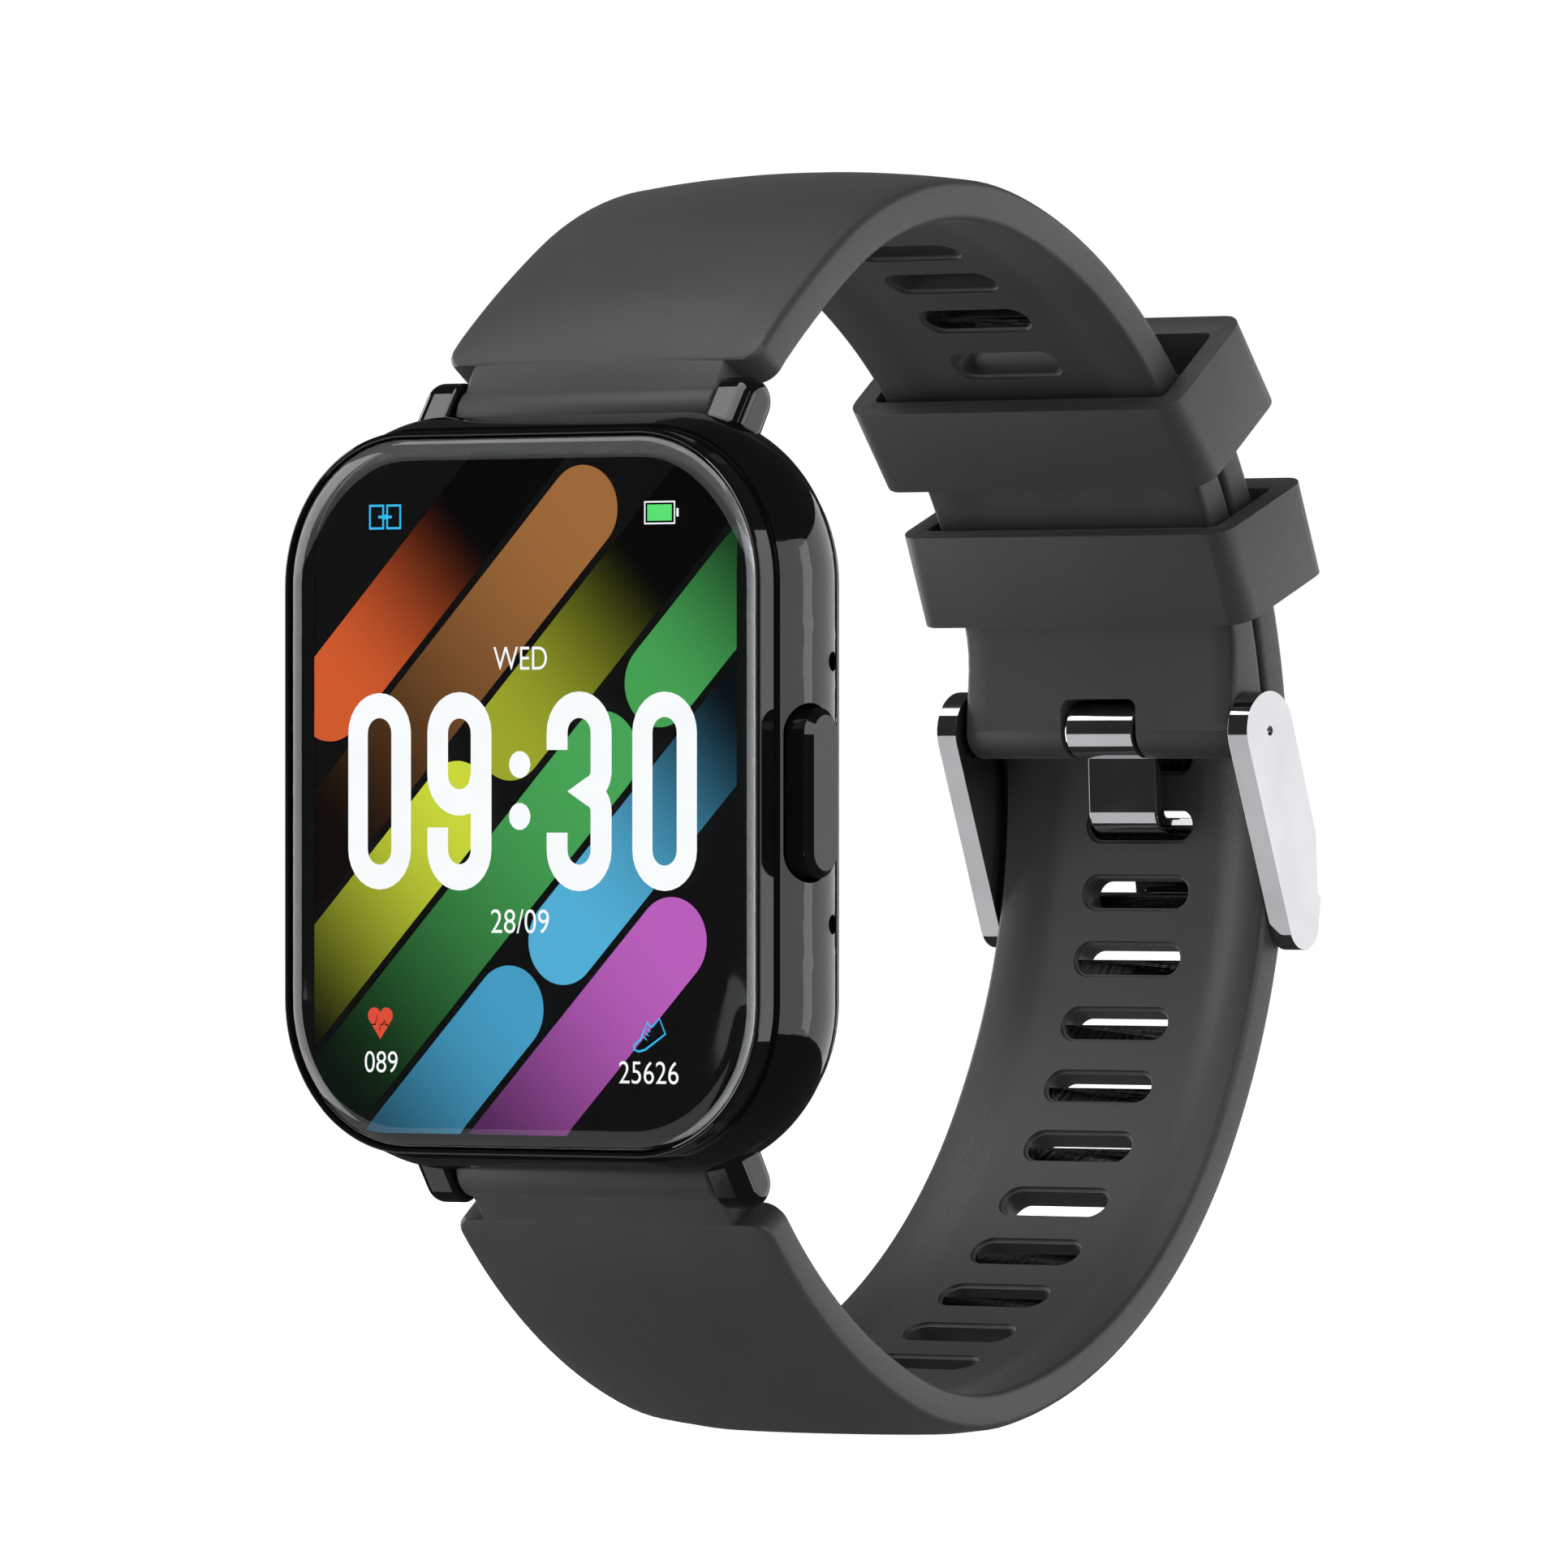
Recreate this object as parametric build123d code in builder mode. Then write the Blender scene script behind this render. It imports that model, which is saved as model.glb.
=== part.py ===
"""Square-faced smartwatch on a buckled two-part silicone strap.

Frame: the origin is the centre of the sensor window on the back of the case, where it
touches the wrist. +Z points to 12 o'clock, +X to the button's side, the display faces -Y
and the strap closes behind the wrist at +Y. All lengths are in millimetres.
"""

import math
import os

from build123d import *

os.makedirs("parts", exist_ok=True)

# ---------------------------------------------------------------- driving dimensions
# Case
CASE_WIDTH = 38.6  # at the widest, about half way back
CASE_HEIGHT = 46.0
CASE_CORNER = 10.4
FRONT_WIDTH = 36.6  # outline of the bezel ring
FRONT_HEIGHT = 44.0
FRONT_CORNER = 9.4
GLASS_FRONT_Y = -9.7
GLASS_THICKNESS = 1.1
GLASS_INSET = 0.4  # from the ring's outline to the glass
RING_FRONT_Y = -9.45
RING_LEDGE_Y = -8.4  # the ledge under the glass
RING_BACK_Y = -7.8
LEDGE_WIDTH = 1.6  # from the ring's outline to the inside of its ledge
FRAME_BACK_Y = -1.5
CAVITY_WIDTH = 33.6
CAVITY_HEIGHT = 41.6
CAVITY_CORNER = 7.6
DISPLAY_STEP_Y = -7.0
CAVITY_BACK_Y = -2.6
REAR_HOLE_INSET = 1.6
COVER_BACK_Y = -0.6
FIT_GAP = 0.1  # between pieces that are assembled and stay put

# Side button
BUTTON_Y = -5.7
BUTTON_LENGTH = 10.2
BUTTON_WIDTH = 3.2
BUTTON_FACE_X = 20.4
BUTTON_BACK_X = 18.55
BUTTON_GAP = 0.3  # round the cap in its recess
RECESS_FLOOR_X = 18.05
STEM_RADIUS = 0.9
STEM_END_X = 15.6
INNER_WALL_X = 16.8
SEAL_SEAT_X = 17.2
SEAL_RADIUS = 1.5
PORT_Y = -3.3
PORT_Z = 7.9
PORT_RADIUS = 0.6

# Lugs and spring bars
LUG_GAP = 20.0
LUG_THICKNESS = 2.6
LUG_TIP = (-1.75, 23.65)  # (y, z) of the round end
LUG_TIP_RADIUS = 1.5
LUG_ROOT = (-4.4, 19.5)
LUG_ROOT_RADIUS = 1.6
LUG_OUTER_FILLET = 0.95
LUG_INNER_FILLET = 0.25
BAR_Y = -1.6
BAR_Z = 23.0
BARREL_RADIUS = 0.75
BARREL_LENGTH = 19.0
TIP_RADIUS = 0.45
TIP_END_X = 10.95
TIP_INNER_X = 7.2
RUNNING = 0.05  # radial clearance of what turns or slides

# Strap loop: concentric arcs at the rear, where the two straps overlap
LOOP_Y = 14.8
SHORT_MID = 38.35
SHORT_THICKNESS = 2.5
LONG_MID = 41.17
LONG_THICKNESS = 2.25
PIN_RADIUS_IN_LOOP = 37.7
PIN_ANGLE = 6.0
TAIL_ANGLE = 40.0
TAIL_CORNER = 5.0
# (radius, sweep in degrees) of each arc, from the rear round to the spring bar
SHORT_ARCS = ((38.35, 34.7), (34.4, 34.7), (22.65, 48.3), (67.0, 8.0), (8.0, 34.0))
LONG_ARCS = ((41.17, 25.7), (49.0, 5.0), (34.45, 50.4), (19.3, 30.0), (36.1, 35.5))
STRAP_END_RADIUS = 1.8
STRAP_WIDTH_FRONT = 24.6
STRAP_WIDTH_REAR = 20.7
TAIL_WIDTH = 21.6
NECK_WIDTH = 19.6
EAR_Z = 25.5
EAR_RADIUS = 1.2
SLOT_LENGTH = 8.0
SLOT_WIDTH = 1.95
SLOT_PITCH = 4.45
TONGUE_SLOT_Z = -2.1
SLOTS_UP = 4  # beyond the tongue's slot, towards the tail
SLOTS_DOWN = 10
VENT_SLOTS = 4
VENT_START = 46.4  # angle of the first slot in the short strap
VENT_STEP = 6.8

# Keepers
KEEPER_ANGLES = {"keeper_upper": 37.9, "keeper_lower": 22.4}
KEEPER_INNER_RADIUS = 35.3
KEEPER_DEPTH = 9.9
KEEPER_WIDTH = 25.8
KEEPER_LENGTH = 6.2
KEEPER_WALL = 1.5
KEEPER_OUTER_WALL = 1.8

# Buckle
ARM_INNER_X = 10.7
ARM_THICKNESS = 1.5
ARM_HEAD_RADIUS = 2.55
ARM_MIDDLE = (55.3, -3.0)
ARM_MIDDLE_RADIUS = 2.1
ARM_TIP = (56.1, -8.4)
ARM_TIP_RADIUS = 1.6
BUCKLE_BAR = (57.25, -7.8)
BUCKLE_BAR_SIZE = (1.0, 2.8)
BUCKLE_BAR_TILT = -10.7
TONGUE_WIDTH = 5.3
TONGUE_THICKNESS = 1.0
TONGUE_COIL_RADIUS = 1.75
TONGUE_WINDOW_WIDTH = 5.9
TONGUE_WINDOW_TOP = 6.0
TONGUE_BEND_RADIUS = 0.95
PIN_BORE_RADIUS = 0.8
SWELL_ANGLE = 15.0  # the short strap thickens from here down to the pin

PIN_Y = LOOP_Y + PIN_RADIUS_IN_LOOP * math.cos(math.radians(PIN_ANGLE))
PIN_Z = PIN_RADIUS_IN_LOOP * math.sin(math.radians(PIN_ANGLE))
FAR = 60.0  # longer than the whole watch


def save(part, name):
    """Label a finished piece and write it as its own file."""
    part.label = name
    export_step(part, f"parts/{name}.step")


def face_plane(y):
    """A plane across the case at depth y: its x is +X, its y is +Z, it faces the wrist."""
    return Plane(origin=(0, y, 0), x_dir=(-1, 0, 0), z_dir=(0, 1, 0))


def route_arcs(arcs, start_angle, sign):
    """Centre, radius and end angles of each arc of a strap, from the rear to the lug."""
    y, z = LOOP_Y, 0.0
    angle = start_angle
    radius = arcs[0][0]
    result = []
    for next_radius, sweep in arcs:
        step = radius - next_radius
        y += step * math.cos(math.radians(angle))
        z += step * math.sin(math.radians(angle))
        radius = next_radius
        result.append((y, z, radius, angle, sign * sweep))
        angle += sign * sweep
    return result


def spot(route, distance):
    """Point (y, z) and angle of the outward normal at a distance along a route."""
    for y, z, radius, angle, sweep in route:
        length = radius * math.radians(abs(sweep))
        if distance <= length:
            at = math.radians(angle) + math.copysign(distance / radius, sweep)
            return y + radius * math.cos(at), z + radius * math.sin(at), math.degrees(at)
        distance -= length
    raise ValueError("distance is past the end of the route")


def radial_plane(y, z, angle):
    """A plane square to the strap's normal at (y, z): its x is +X, its y runs along it."""
    turn = math.radians(angle)
    return Plane(origin=(0, y, z), x_dir=(-1, 0, 0), z_dir=(0, math.cos(turn), math.sin(turn)))


def loop_plane(radius, angle):
    """The radial plane at an angle round the rear of the loop."""
    turn = math.radians(angle)
    return radial_plane(LOOP_Y + radius * math.cos(turn), radius * math.sin(turn), angle)


def band(route, thickness):
    """The side view of a strap as a face: two sets of arcs, closed at both ends."""
    with BuildSketch(Plane.YZ) as outline:
        with BuildLine():
            rims = {}
            for side in (-thickness / 2, thickness / 2):
                edges = []
                for y, z, radius, angle, sweep in route:
                    edges.append(CenterArc((y, z), radius + side, angle, sweep))
                rims[side] = edges
            inner, outer = rims.values()
            Line(inner[0] @ 0, outer[0] @ 0)
            Line(inner[-1] @ 1, outer[-1] @ 1)
        make_face()
    return outline.sketch


def lug_horn(side, end):
    """One lug: a tapering horn from inside the case to round the spring bar's end."""
    with BuildPart() as horn:
        with BuildSketch(Plane.YZ.offset(side * (LUG_GAP + LUG_THICKNESS) / 2)):
            with Locations((LUG_TIP[0], end * LUG_TIP[1])):
                Circle(LUG_TIP_RADIUS)
            with Locations((LUG_ROOT[0], end * LUG_ROOT[1])):
                Circle(LUG_ROOT_RADIUS)
            make_hull()
        extrude(amount=LUG_THICKNESS / 2, both=True)
        faces = horn.faces().sort_by(Axis.X)
        inner, outer = (faces[0], faces[-1]) if side > 0 else (faces[-1], faces[0])
        fillet(outer.edges(), LUG_OUTER_FILLET)
        fillet(inner.edges(), LUG_INNER_FILLET)
    return horn.part


def strap_outline(end_z):
    """The solid that a strap may fill: tapered in plan, narrow between the lugs."""
    half_front, half_rear = STRAP_WIDTH_FRONT / 2, STRAP_WIDTH_REAR / 2
    side = math.copysign(1, end_z)
    with BuildPart() as allowed:
        with BuildSketch(Plane.XY):
            Polygon(
                (-half_front, BAR_Y - 5),
                (half_front, BAR_Y - 5),
                (half_rear, FAR),
                (-half_rear, FAR),
                align=None,
            )
        extrude(amount=FAR, both=True)
        with BuildSketch(Plane.XZ) as beside_neck:
            with Locations((0, side * (EAR_Z - FAR / 2))):
                Rectangle(FAR, FAR)
                Rectangle(NECK_WIDTH, 2 * FAR, mode=Mode.SUBTRACT)
            for x in (-1, 1):
                with Locations((x * half_front, side * EAR_Z)):
                    Rectangle(2 * EAR_RADIUS, 2 * EAR_RADIUS)
                with Locations((x * (half_front - EAR_RADIUS), side * (EAR_Z + EAR_RADIUS))):
                    Circle(EAR_RADIUS, mode=Mode.SUBTRACT)
        extrude(amount=-LOOP_Y, mode=Mode.SUBTRACT)
        extrude(beside_neck.sketch, amount=LOOP_Y, mode=Mode.SUBTRACT)
    return allowed.part


# ---------------------------------------------------------------- case
glass_width = FRONT_WIDTH - 2 * GLASS_INSET
glass_height = FRONT_HEIGHT - 2 * GLASS_INSET
glass_corner = FRONT_CORNER - GLASS_INSET
glass_back_y = GLASS_FRONT_Y + GLASS_THICKNESS
ledge_hole_width = FRONT_WIDTH - 2 * LEDGE_WIDTH
ledge_hole_height = FRONT_HEIGHT - 2 * (LEDGE_WIDTH - 0.4)
ledge_corner = FRONT_CORNER - LEDGE_WIDTH

with BuildPart() as front_glass:
    with BuildSketch(face_plane(GLASS_FRONT_Y)):
        RectangleRounded(glass_width, glass_height, glass_corner)
    extrude(amount=GLASS_THICKNESS)
    fillet(front_glass.faces().sort_by(Axis.Y)[0].edges(), 0.8)
save(front_glass.part, "front_glass")

with BuildPart() as bezel_ring:
    with BuildSketch(face_plane(RING_FRONT_Y)):
        RectangleRounded(FRONT_WIDTH, FRONT_HEIGHT, FRONT_CORNER)
    extrude(amount=RING_BACK_Y - RING_FRONT_Y)
    with BuildSketch(face_plane(RING_FRONT_Y)):
        RectangleRounded(glass_width + FIT_GAP, glass_height + FIT_GAP, glass_corner + FIT_GAP / 2)
    extrude(amount=RING_LEDGE_Y - RING_FRONT_Y, mode=Mode.SUBTRACT)
    with BuildSketch(face_plane(RING_FRONT_Y)):
        RectangleRounded(ledge_hole_width, ledge_hole_height, ledge_corner)
    extrude(amount=RING_BACK_Y - RING_FRONT_Y, mode=Mode.SUBTRACT)
save(bezel_ring.part, "bezel_ring")

with BuildPart() as glass_gasket:
    with BuildSketch(face_plane(glass_back_y)):
        RectangleRounded(glass_width - 0.4, glass_height - 0.4, glass_corner - 0.2)
        RectangleRounded(
            ledge_hole_width + 0.2, ledge_hole_height + 0.2, ledge_corner + 0.1, mode=Mode.SUBTRACT
        )
    extrude(amount=RING_LEDGE_Y - glass_back_y)
save(glass_gasket.part, "glass_gasket")

with BuildPart() as display_panel:
    with BuildSketch(face_plane(glass_back_y)):
        RectangleRounded(ledge_hole_width - 0.4, ledge_hole_height - 0.4, ledge_corner - 0.2)
    extrude(amount=1.4)
save(display_panel.part, "display_panel")

# (y, outline width less the widest, corner less the widest's) of the sections of the side
FRAME_SECTIONS = (
    (-7.8, -1.5, -0.75),
    (-6.6, -0.6, -0.3),
    (-4.2, 0.0, 0.0),
    (-2.6, -0.9, -0.45),
    (-1.5, -2.6, -1.3),
)
cover_width = CASE_WIDTH + FRAME_SECTIONS[-1][1] - FIT_GAP
cover_height = CASE_HEIGHT + FRAME_SECTIONS[-1][1] - FIT_GAP
cover_corner = CASE_CORNER - 1.35
horns = [lug_horn(side, end) for side in (-1, 1) for end in (-1, 1)]

with BuildPart() as mid_frame:
    for section_y, less, corner_less in FRAME_SECTIONS:
        with BuildSketch(face_plane(section_y)):
            RectangleRounded(CASE_WIDTH + less, CASE_HEIGHT + less, CASE_CORNER + corner_less)
    loft()
    # lugs: a pair at each end, sloping back from the case to the spring bar
    for horn in horns:
        add(horn)
    with BuildSketch(face_plane(FRAME_BACK_Y)):
        RectangleRounded(cover_width + FIT_GAP, cover_height + FIT_GAP, cover_corner + FIT_GAP / 2)
    extrude(amount=-FRAME_BACK_Y, mode=Mode.SUBTRACT)
    # room for the rounded end of each strap
    with Locations((0, BAR_Y, BAR_Z), (0, BAR_Y, -BAR_Z)):
        Cylinder(STRAP_END_RADIUS + 0.35, LUG_GAP, rotation=(0, 90, 0), mode=Mode.SUBTRACT)
    # the hollow for the electronics, and the hole that the rear cover closes
    with BuildSketch(face_plane(RING_BACK_Y)):
        RectangleRounded(CAVITY_WIDTH, CAVITY_HEIGHT, CAVITY_CORNER)
    extrude(amount=DISPLAY_STEP_Y - RING_BACK_Y, mode=Mode.SUBTRACT)
    with BuildSketch(face_plane(DISPLAY_STEP_Y)):
        RectangleRounded(CAVITY_WIDTH, CAVITY_HEIGHT - 2.0, CAVITY_CORNER)
    extrude(amount=CAVITY_BACK_Y - DISPLAY_STEP_Y, mode=Mode.SUBTRACT)
    with BuildSketch(face_plane(CAVITY_BACK_Y)):
        RectangleRounded(CAVITY_WIDTH - REAR_HOLE_INSET, CAVITY_HEIGHT - 4.0, CAVITY_CORNER - 0.8)
    extrude(amount=FRAME_BACK_Y - CAVITY_BACK_Y, mode=Mode.SUBTRACT)
    # recess, seal seat and stem hole of the button
    with BuildSketch(Plane.YZ.offset(RECESS_FLOOR_X)):
        with Locations((BUTTON_Y, 0)):
            SlotOverall(BUTTON_LENGTH + 2 * BUTTON_GAP, BUTTON_WIDTH + 2 * BUTTON_GAP, rotation=90)
    extrude(amount=4, mode=Mode.SUBTRACT)
    with BuildSketch(Plane.YZ.offset(SEAL_SEAT_X)):
        with Locations((BUTTON_Y, 0)):
            Circle(SEAL_RADIUS + RUNNING)
    extrude(amount=4, mode=Mode.SUBTRACT)
    with BuildSketch(Plane.YZ.offset(INNER_WALL_X - 1)):
        with Locations((BUTTON_Y, 0)):
            Circle(STEM_RADIUS + RUNNING)
        with Locations((PORT_Y, PORT_Z), (PORT_Y, -PORT_Z)):
            Circle(PORT_RADIUS)
    extrude(amount=5, mode=Mode.SUBTRACT)
    # blind holes for the tips of the spring bars
    for side in (-1, 1):
        with BuildSketch(Plane.YZ.offset(side * (LUG_GAP / 2 + 1.3))):
            with Locations((BAR_Y, BAR_Z), (BAR_Y, -BAR_Z)):
                Circle(TIP_RADIUS + RUNNING)
        extrude(amount=-side * 2.6, mode=Mode.SUBTRACT)
save(mid_frame.part, "mid_frame")

WINDOW_RADIUS = 7.5
WINDOW_THICKNESS = 0.9
SENSOR_HOLE_RADIUS = 6.6
CONTACT_RADIUS = 1.0
CONTACT_Z = -13.5
CONTACT_X = 2.6
SCREW_SPOTS = [(x, z) for x in (-12.4, 12.4) for z in (-15.6, 15.6)]
SCREW_HEAD_RADIUS = 1.0
SCREW_RADIUS = 0.5

with BuildPart() as rear_cover:
    with BuildSketch(face_plane(FRAME_BACK_Y)):
        RectangleRounded(cover_width, cover_height, cover_corner)
    extrude(amount=COVER_BACK_Y - FRAME_BACK_Y)
    fillet(rear_cover.faces().sort_by(Axis.Y)[-1].edges(), 0.75)
    with Locations((0, BAR_Y, BAR_Z), (0, BAR_Y, -BAR_Z)):
        Cylinder(STRAP_END_RADIUS + 0.35, LUG_GAP, rotation=(0, 90, 0), mode=Mode.SUBTRACT)
    with BuildSketch(face_plane(CAVITY_BACK_Y + 0.3)):
        RectangleRounded(CAVITY_WIDTH - 2.6, CAVITY_HEIGHT - 5.0, CAVITY_CORNER - 1.3)
        RectangleRounded(
            CAVITY_WIDTH - 4.6, CAVITY_HEIGHT - 7.0, CAVITY_CORNER - 2.3, mode=Mode.SUBTRACT
        )
    extrude(amount=FRAME_BACK_Y - CAVITY_BACK_Y - 0.3)
    with BuildSketch(face_plane(COVER_BACK_Y)):
        Circle(WINDOW_RADIUS + 2.0)
    extrude(amount=0.4, taper=40)
    with BuildSketch(face_plane(-WINDOW_THICKNESS)):
        Circle(WINDOW_RADIUS + FIT_GAP / 2)
    extrude(amount=2, mode=Mode.SUBTRACT)
    with BuildSketch(face_plane(-4)):
        Circle(SENSOR_HOLE_RADIUS)
    extrude(amount=5, mode=Mode.SUBTRACT)
    with BuildSketch(face_plane(COVER_BACK_Y - 0.5)):
        with Locations(*SCREW_SPOTS):
            Circle(SCREW_HEAD_RADIUS + RUNNING)
    extrude(amount=2, mode=Mode.SUBTRACT)
    with BuildSketch(face_plane(-4)):
        with Locations(*SCREW_SPOTS):
            Circle(SCREW_RADIUS + RUNNING)
        with Locations((-CONTACT_X, CONTACT_Z), (CONTACT_X, CONTACT_Z)):
            Circle(CONTACT_RADIUS + RUNNING)
    extrude(amount=5, mode=Mode.SUBTRACT)
save(rear_cover.part, "rear_cover")

with BuildPart() as sensor_window:
    with BuildSketch(face_plane(-WINDOW_THICKNESS)):
        Circle(WINDOW_RADIUS)
    extrude(amount=WINDOW_THICKNESS)
    fillet(sensor_window.faces().sort_by(Axis.Y)[-1].edges(), 0.3)
save(sensor_window.part, "sensor_window")

with BuildPart() as rear_gasket:
    with BuildSketch(face_plane(CAVITY_BACK_Y + 0.4)):
        RectangleRounded(CAVITY_WIDTH - 1.7, CAVITY_HEIGHT - 4.1, CAVITY_CORNER - 0.85)
        RectangleRounded(
            CAVITY_WIDTH - 2.5, CAVITY_HEIGHT - 4.9, CAVITY_CORNER - 1.25, mode=Mode.SUBTRACT
        )
    extrude(amount=0.6)
save(rear_gasket.part, "rear_gasket")

with BuildPart() as rear_screws:
    with BuildSketch(face_plane(COVER_BACK_Y - 0.5)):
        with Locations(*SCREW_SPOTS):
            Circle(SCREW_HEAD_RADIUS)
    extrude(amount=0.45)
    with BuildSketch(face_plane(COVER_BACK_Y - 0.5)):
        with Locations(*SCREW_SPOTS):
            Circle(SCREW_RADIUS)
    extrude(amount=-1.9)
    with BuildSketch(face_plane(COVER_BACK_Y - 0.2)):
        with Locations(*SCREW_SPOTS):
            Rectangle(1.2, 0.3)
            Rectangle(0.3, 1.2)
    extrude(amount=1, mode=Mode.SUBTRACT)
save(rear_screws.part, "rear_screws")

with BuildPart() as charging_contacts:
    with BuildSketch(face_plane(COVER_BACK_Y - 1.3)):
        with Locations((-CONTACT_X, CONTACT_Z), (CONTACT_X, CONTACT_Z)):
            Circle(CONTACT_RADIUS)
    extrude(amount=1.35)
save(charging_contacts.part, "charging_contacts")

# ---------------------------------------------------------------- inside the case
with BuildPart() as main_board:
    with BuildSketch(face_plane(-6.8)):
        with Locations((0, 9.8)):
            RectangleRounded(30.0, 19.0, 6.0)
    extrude(amount=0.8)
    with BuildSketch(face_plane(-6.0)):
        with Locations((-5.0, 10.0)):
            Rectangle(9.0, 11.0)
        with Locations((5.0, 13.0)):
            Rectangle(6.0, 5.0)
    extrude(amount=1.6)
save(main_board.part, "main_board")

with BuildPart() as battery:
    with BuildSketch(face_plane(-6.8)):
        with Locations((0, -10.2)):
            RectangleRounded(26.0, 18.0, 3.0)
    extrude(amount=3.8)
    fillet(battery.edges().filter_by(GeomType.LINE, reverse=True).group_by(Axis.Y)[-1], 0.4)
save(battery.part, "battery")

with BuildPart() as vibration_motor:
    with BuildSketch(face_plane(-6.0)):
        with Locations((9.8, 7.0)):
            Circle(3.5)
    extrude(amount=2.6)
save(vibration_motor.part, "vibration_motor")

with BuildPart() as microphone:
    with BuildSketch(Plane.YZ.offset(15.3)):
        with Locations((PORT_Y - 0.4, PORT_Z)):
            Rectangle(1.9, 2.6)
    extrude(amount=1.1)
save(microphone.part, "microphone")

with BuildPart() as vent_membrane:
    with BuildSketch(Plane.YZ.offset(INNER_WALL_X - 0.25)):
        with Locations((PORT_Y - 0.3, -PORT_Z)):
            Rectangle(1.9, 2.4)
    extrude(amount=0.2)
save(vent_membrane.part, "vent_membrane")

with BuildPart() as sensor_board:
    with BuildSketch(face_plane(-2.2)):
        Circle(6.2)
    extrude(amount=0.6)
    with BuildSketch(face_plane(-1.6)):
        Rectangle(2.0, 2.4)
        with Locations((-3.4, 0), (3.4, 0)):
            Rectangle(1.6, 2.0)
    extrude(amount=0.5)
save(sensor_board.part, "sensor_board")

# ---------------------------------------------------------------- side button
with BuildPart() as button_cap:
    with BuildSketch(Plane.YZ.offset(BUTTON_BACK_X)):
        with Locations((BUTTON_Y, 0)):
            SlotOverall(BUTTON_LENGTH, BUTTON_WIDTH, rotation=90)
    extrude(amount=BUTTON_FACE_X - BUTTON_BACK_X)
    chamfer(button_cap.faces().sort_by(Axis.X)[-1].edges(), 0.42)
save(button_cap.part, "button_cap")

CLIP_X = INNER_WALL_X - 0.55
GROOVE_RADIUS = STEM_RADIUS - 0.25
with BuildPart() as button_stem:
    with Locations(Plane.YZ.offset(STEM_END_X).location * Pos(BUTTON_Y, 0, 0)):
        Cylinder(STEM_RADIUS, BUTTON_BACK_X - STEM_END_X, align=(Align.CENTER, Align.CENTER, Align.MIN))
    with BuildSketch(Plane.YZ.offset(CLIP_X)):
        with Locations((BUTTON_Y, 0)):
            Circle(STEM_RADIUS + 1)
            Circle(GROOVE_RADIUS, mode=Mode.SUBTRACT)
    extrude(amount=0.3, mode=Mode.SUBTRACT)
save(button_stem.part, "button_stem")

with BuildPart() as button_clip:
    with BuildSketch(Plane.YZ.offset(CLIP_X + 0.02)):
        with Locations((BUTTON_Y, 0)):
            Circle(1.6)
            Circle(GROOVE_RADIUS + 0.01, mode=Mode.SUBTRACT)
        with Locations((BUTTON_Y - 1, 0)):
            Rectangle(2, 2 * GROOVE_RADIUS - 0.2, mode=Mode.SUBTRACT)
    extrude(amount=0.26)
save(button_clip.part, "button_clip")

with BuildPart() as button_seal:
    with BuildSketch(Plane.YZ.offset(SEAL_SEAT_X)):
        with Locations((BUTTON_Y, 0)):
            Circle(SEAL_RADIUS)
            Circle(STEM_RADIUS + RUNNING, mode=Mode.SUBTRACT)
    extrude(amount=RECESS_FLOOR_X - SEAL_SEAT_X - 0.05)
save(button_seal.part, "button_seal")

with BuildPart() as button_switch:
    with BuildSketch(Plane.YZ.offset(13.2)):
        with Locations((BUTTON_Y + 0.5, 0)):
            Rectangle(3.0, 4.2)
    extrude(amount=1.5)
    with BuildSketch(Plane.YZ.offset(14.7)):
        with Locations((BUTTON_Y, 0)):
            Circle(0.8)
    extrude(amount=0.45)
save(button_switch.part, "button_switch")

# ---------------------------------------------------------------- spring bars
for bar_name, bar_z in (("upper", BAR_Z), ("lower", -BAR_Z)):
    with BuildPart() as spring_bar:
        with Locations((0, BAR_Y, bar_z)):
            Cylinder(BARREL_RADIUS, BARREL_LENGTH, rotation=(0, 90, 0))
            Cylinder(TIP_RADIUS + RUNNING, BARREL_LENGTH, rotation=(0, 90, 0), mode=Mode.SUBTRACT)
    save(spring_bar.part, f"spring_bar_{bar_name}")
    with BuildPart() as bar_spring:
        with Locations((0, BAR_Y, bar_z)):
            Cylinder(TIP_RADIUS - 0.03, 2 * TIP_INNER_X - 0.1, rotation=(0, 90, 0))
    save(bar_spring.part, f"bar_spring_{bar_name}")
    for side_name, side in (("left", -1), ("right", 1)):
        with BuildPart() as bar_tip:
            with Locations((side * (TIP_END_X + TIP_INNER_X) / 2, BAR_Y, bar_z)):
                Cylinder(TIP_RADIUS, TIP_END_X - TIP_INNER_X, rotation=(0, 90, 0))
            chamfer(bar_tip.edges().group_by(Axis.X)[-1 if side > 0 else 0], 0.12)
        save(bar_tip.part, f"bar_tip_{bar_name}_{side_name}")

# ---------------------------------------------------------------- straps
short_route = route_arcs(SHORT_ARCS, PIN_ANGLE, 1)
long_route = route_arcs(LONG_ARCS, 0.0, -1)
tail_route = [(LOOP_Y, 0.0, LONG_MID, 0.0, TAIL_ANGLE)]

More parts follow.
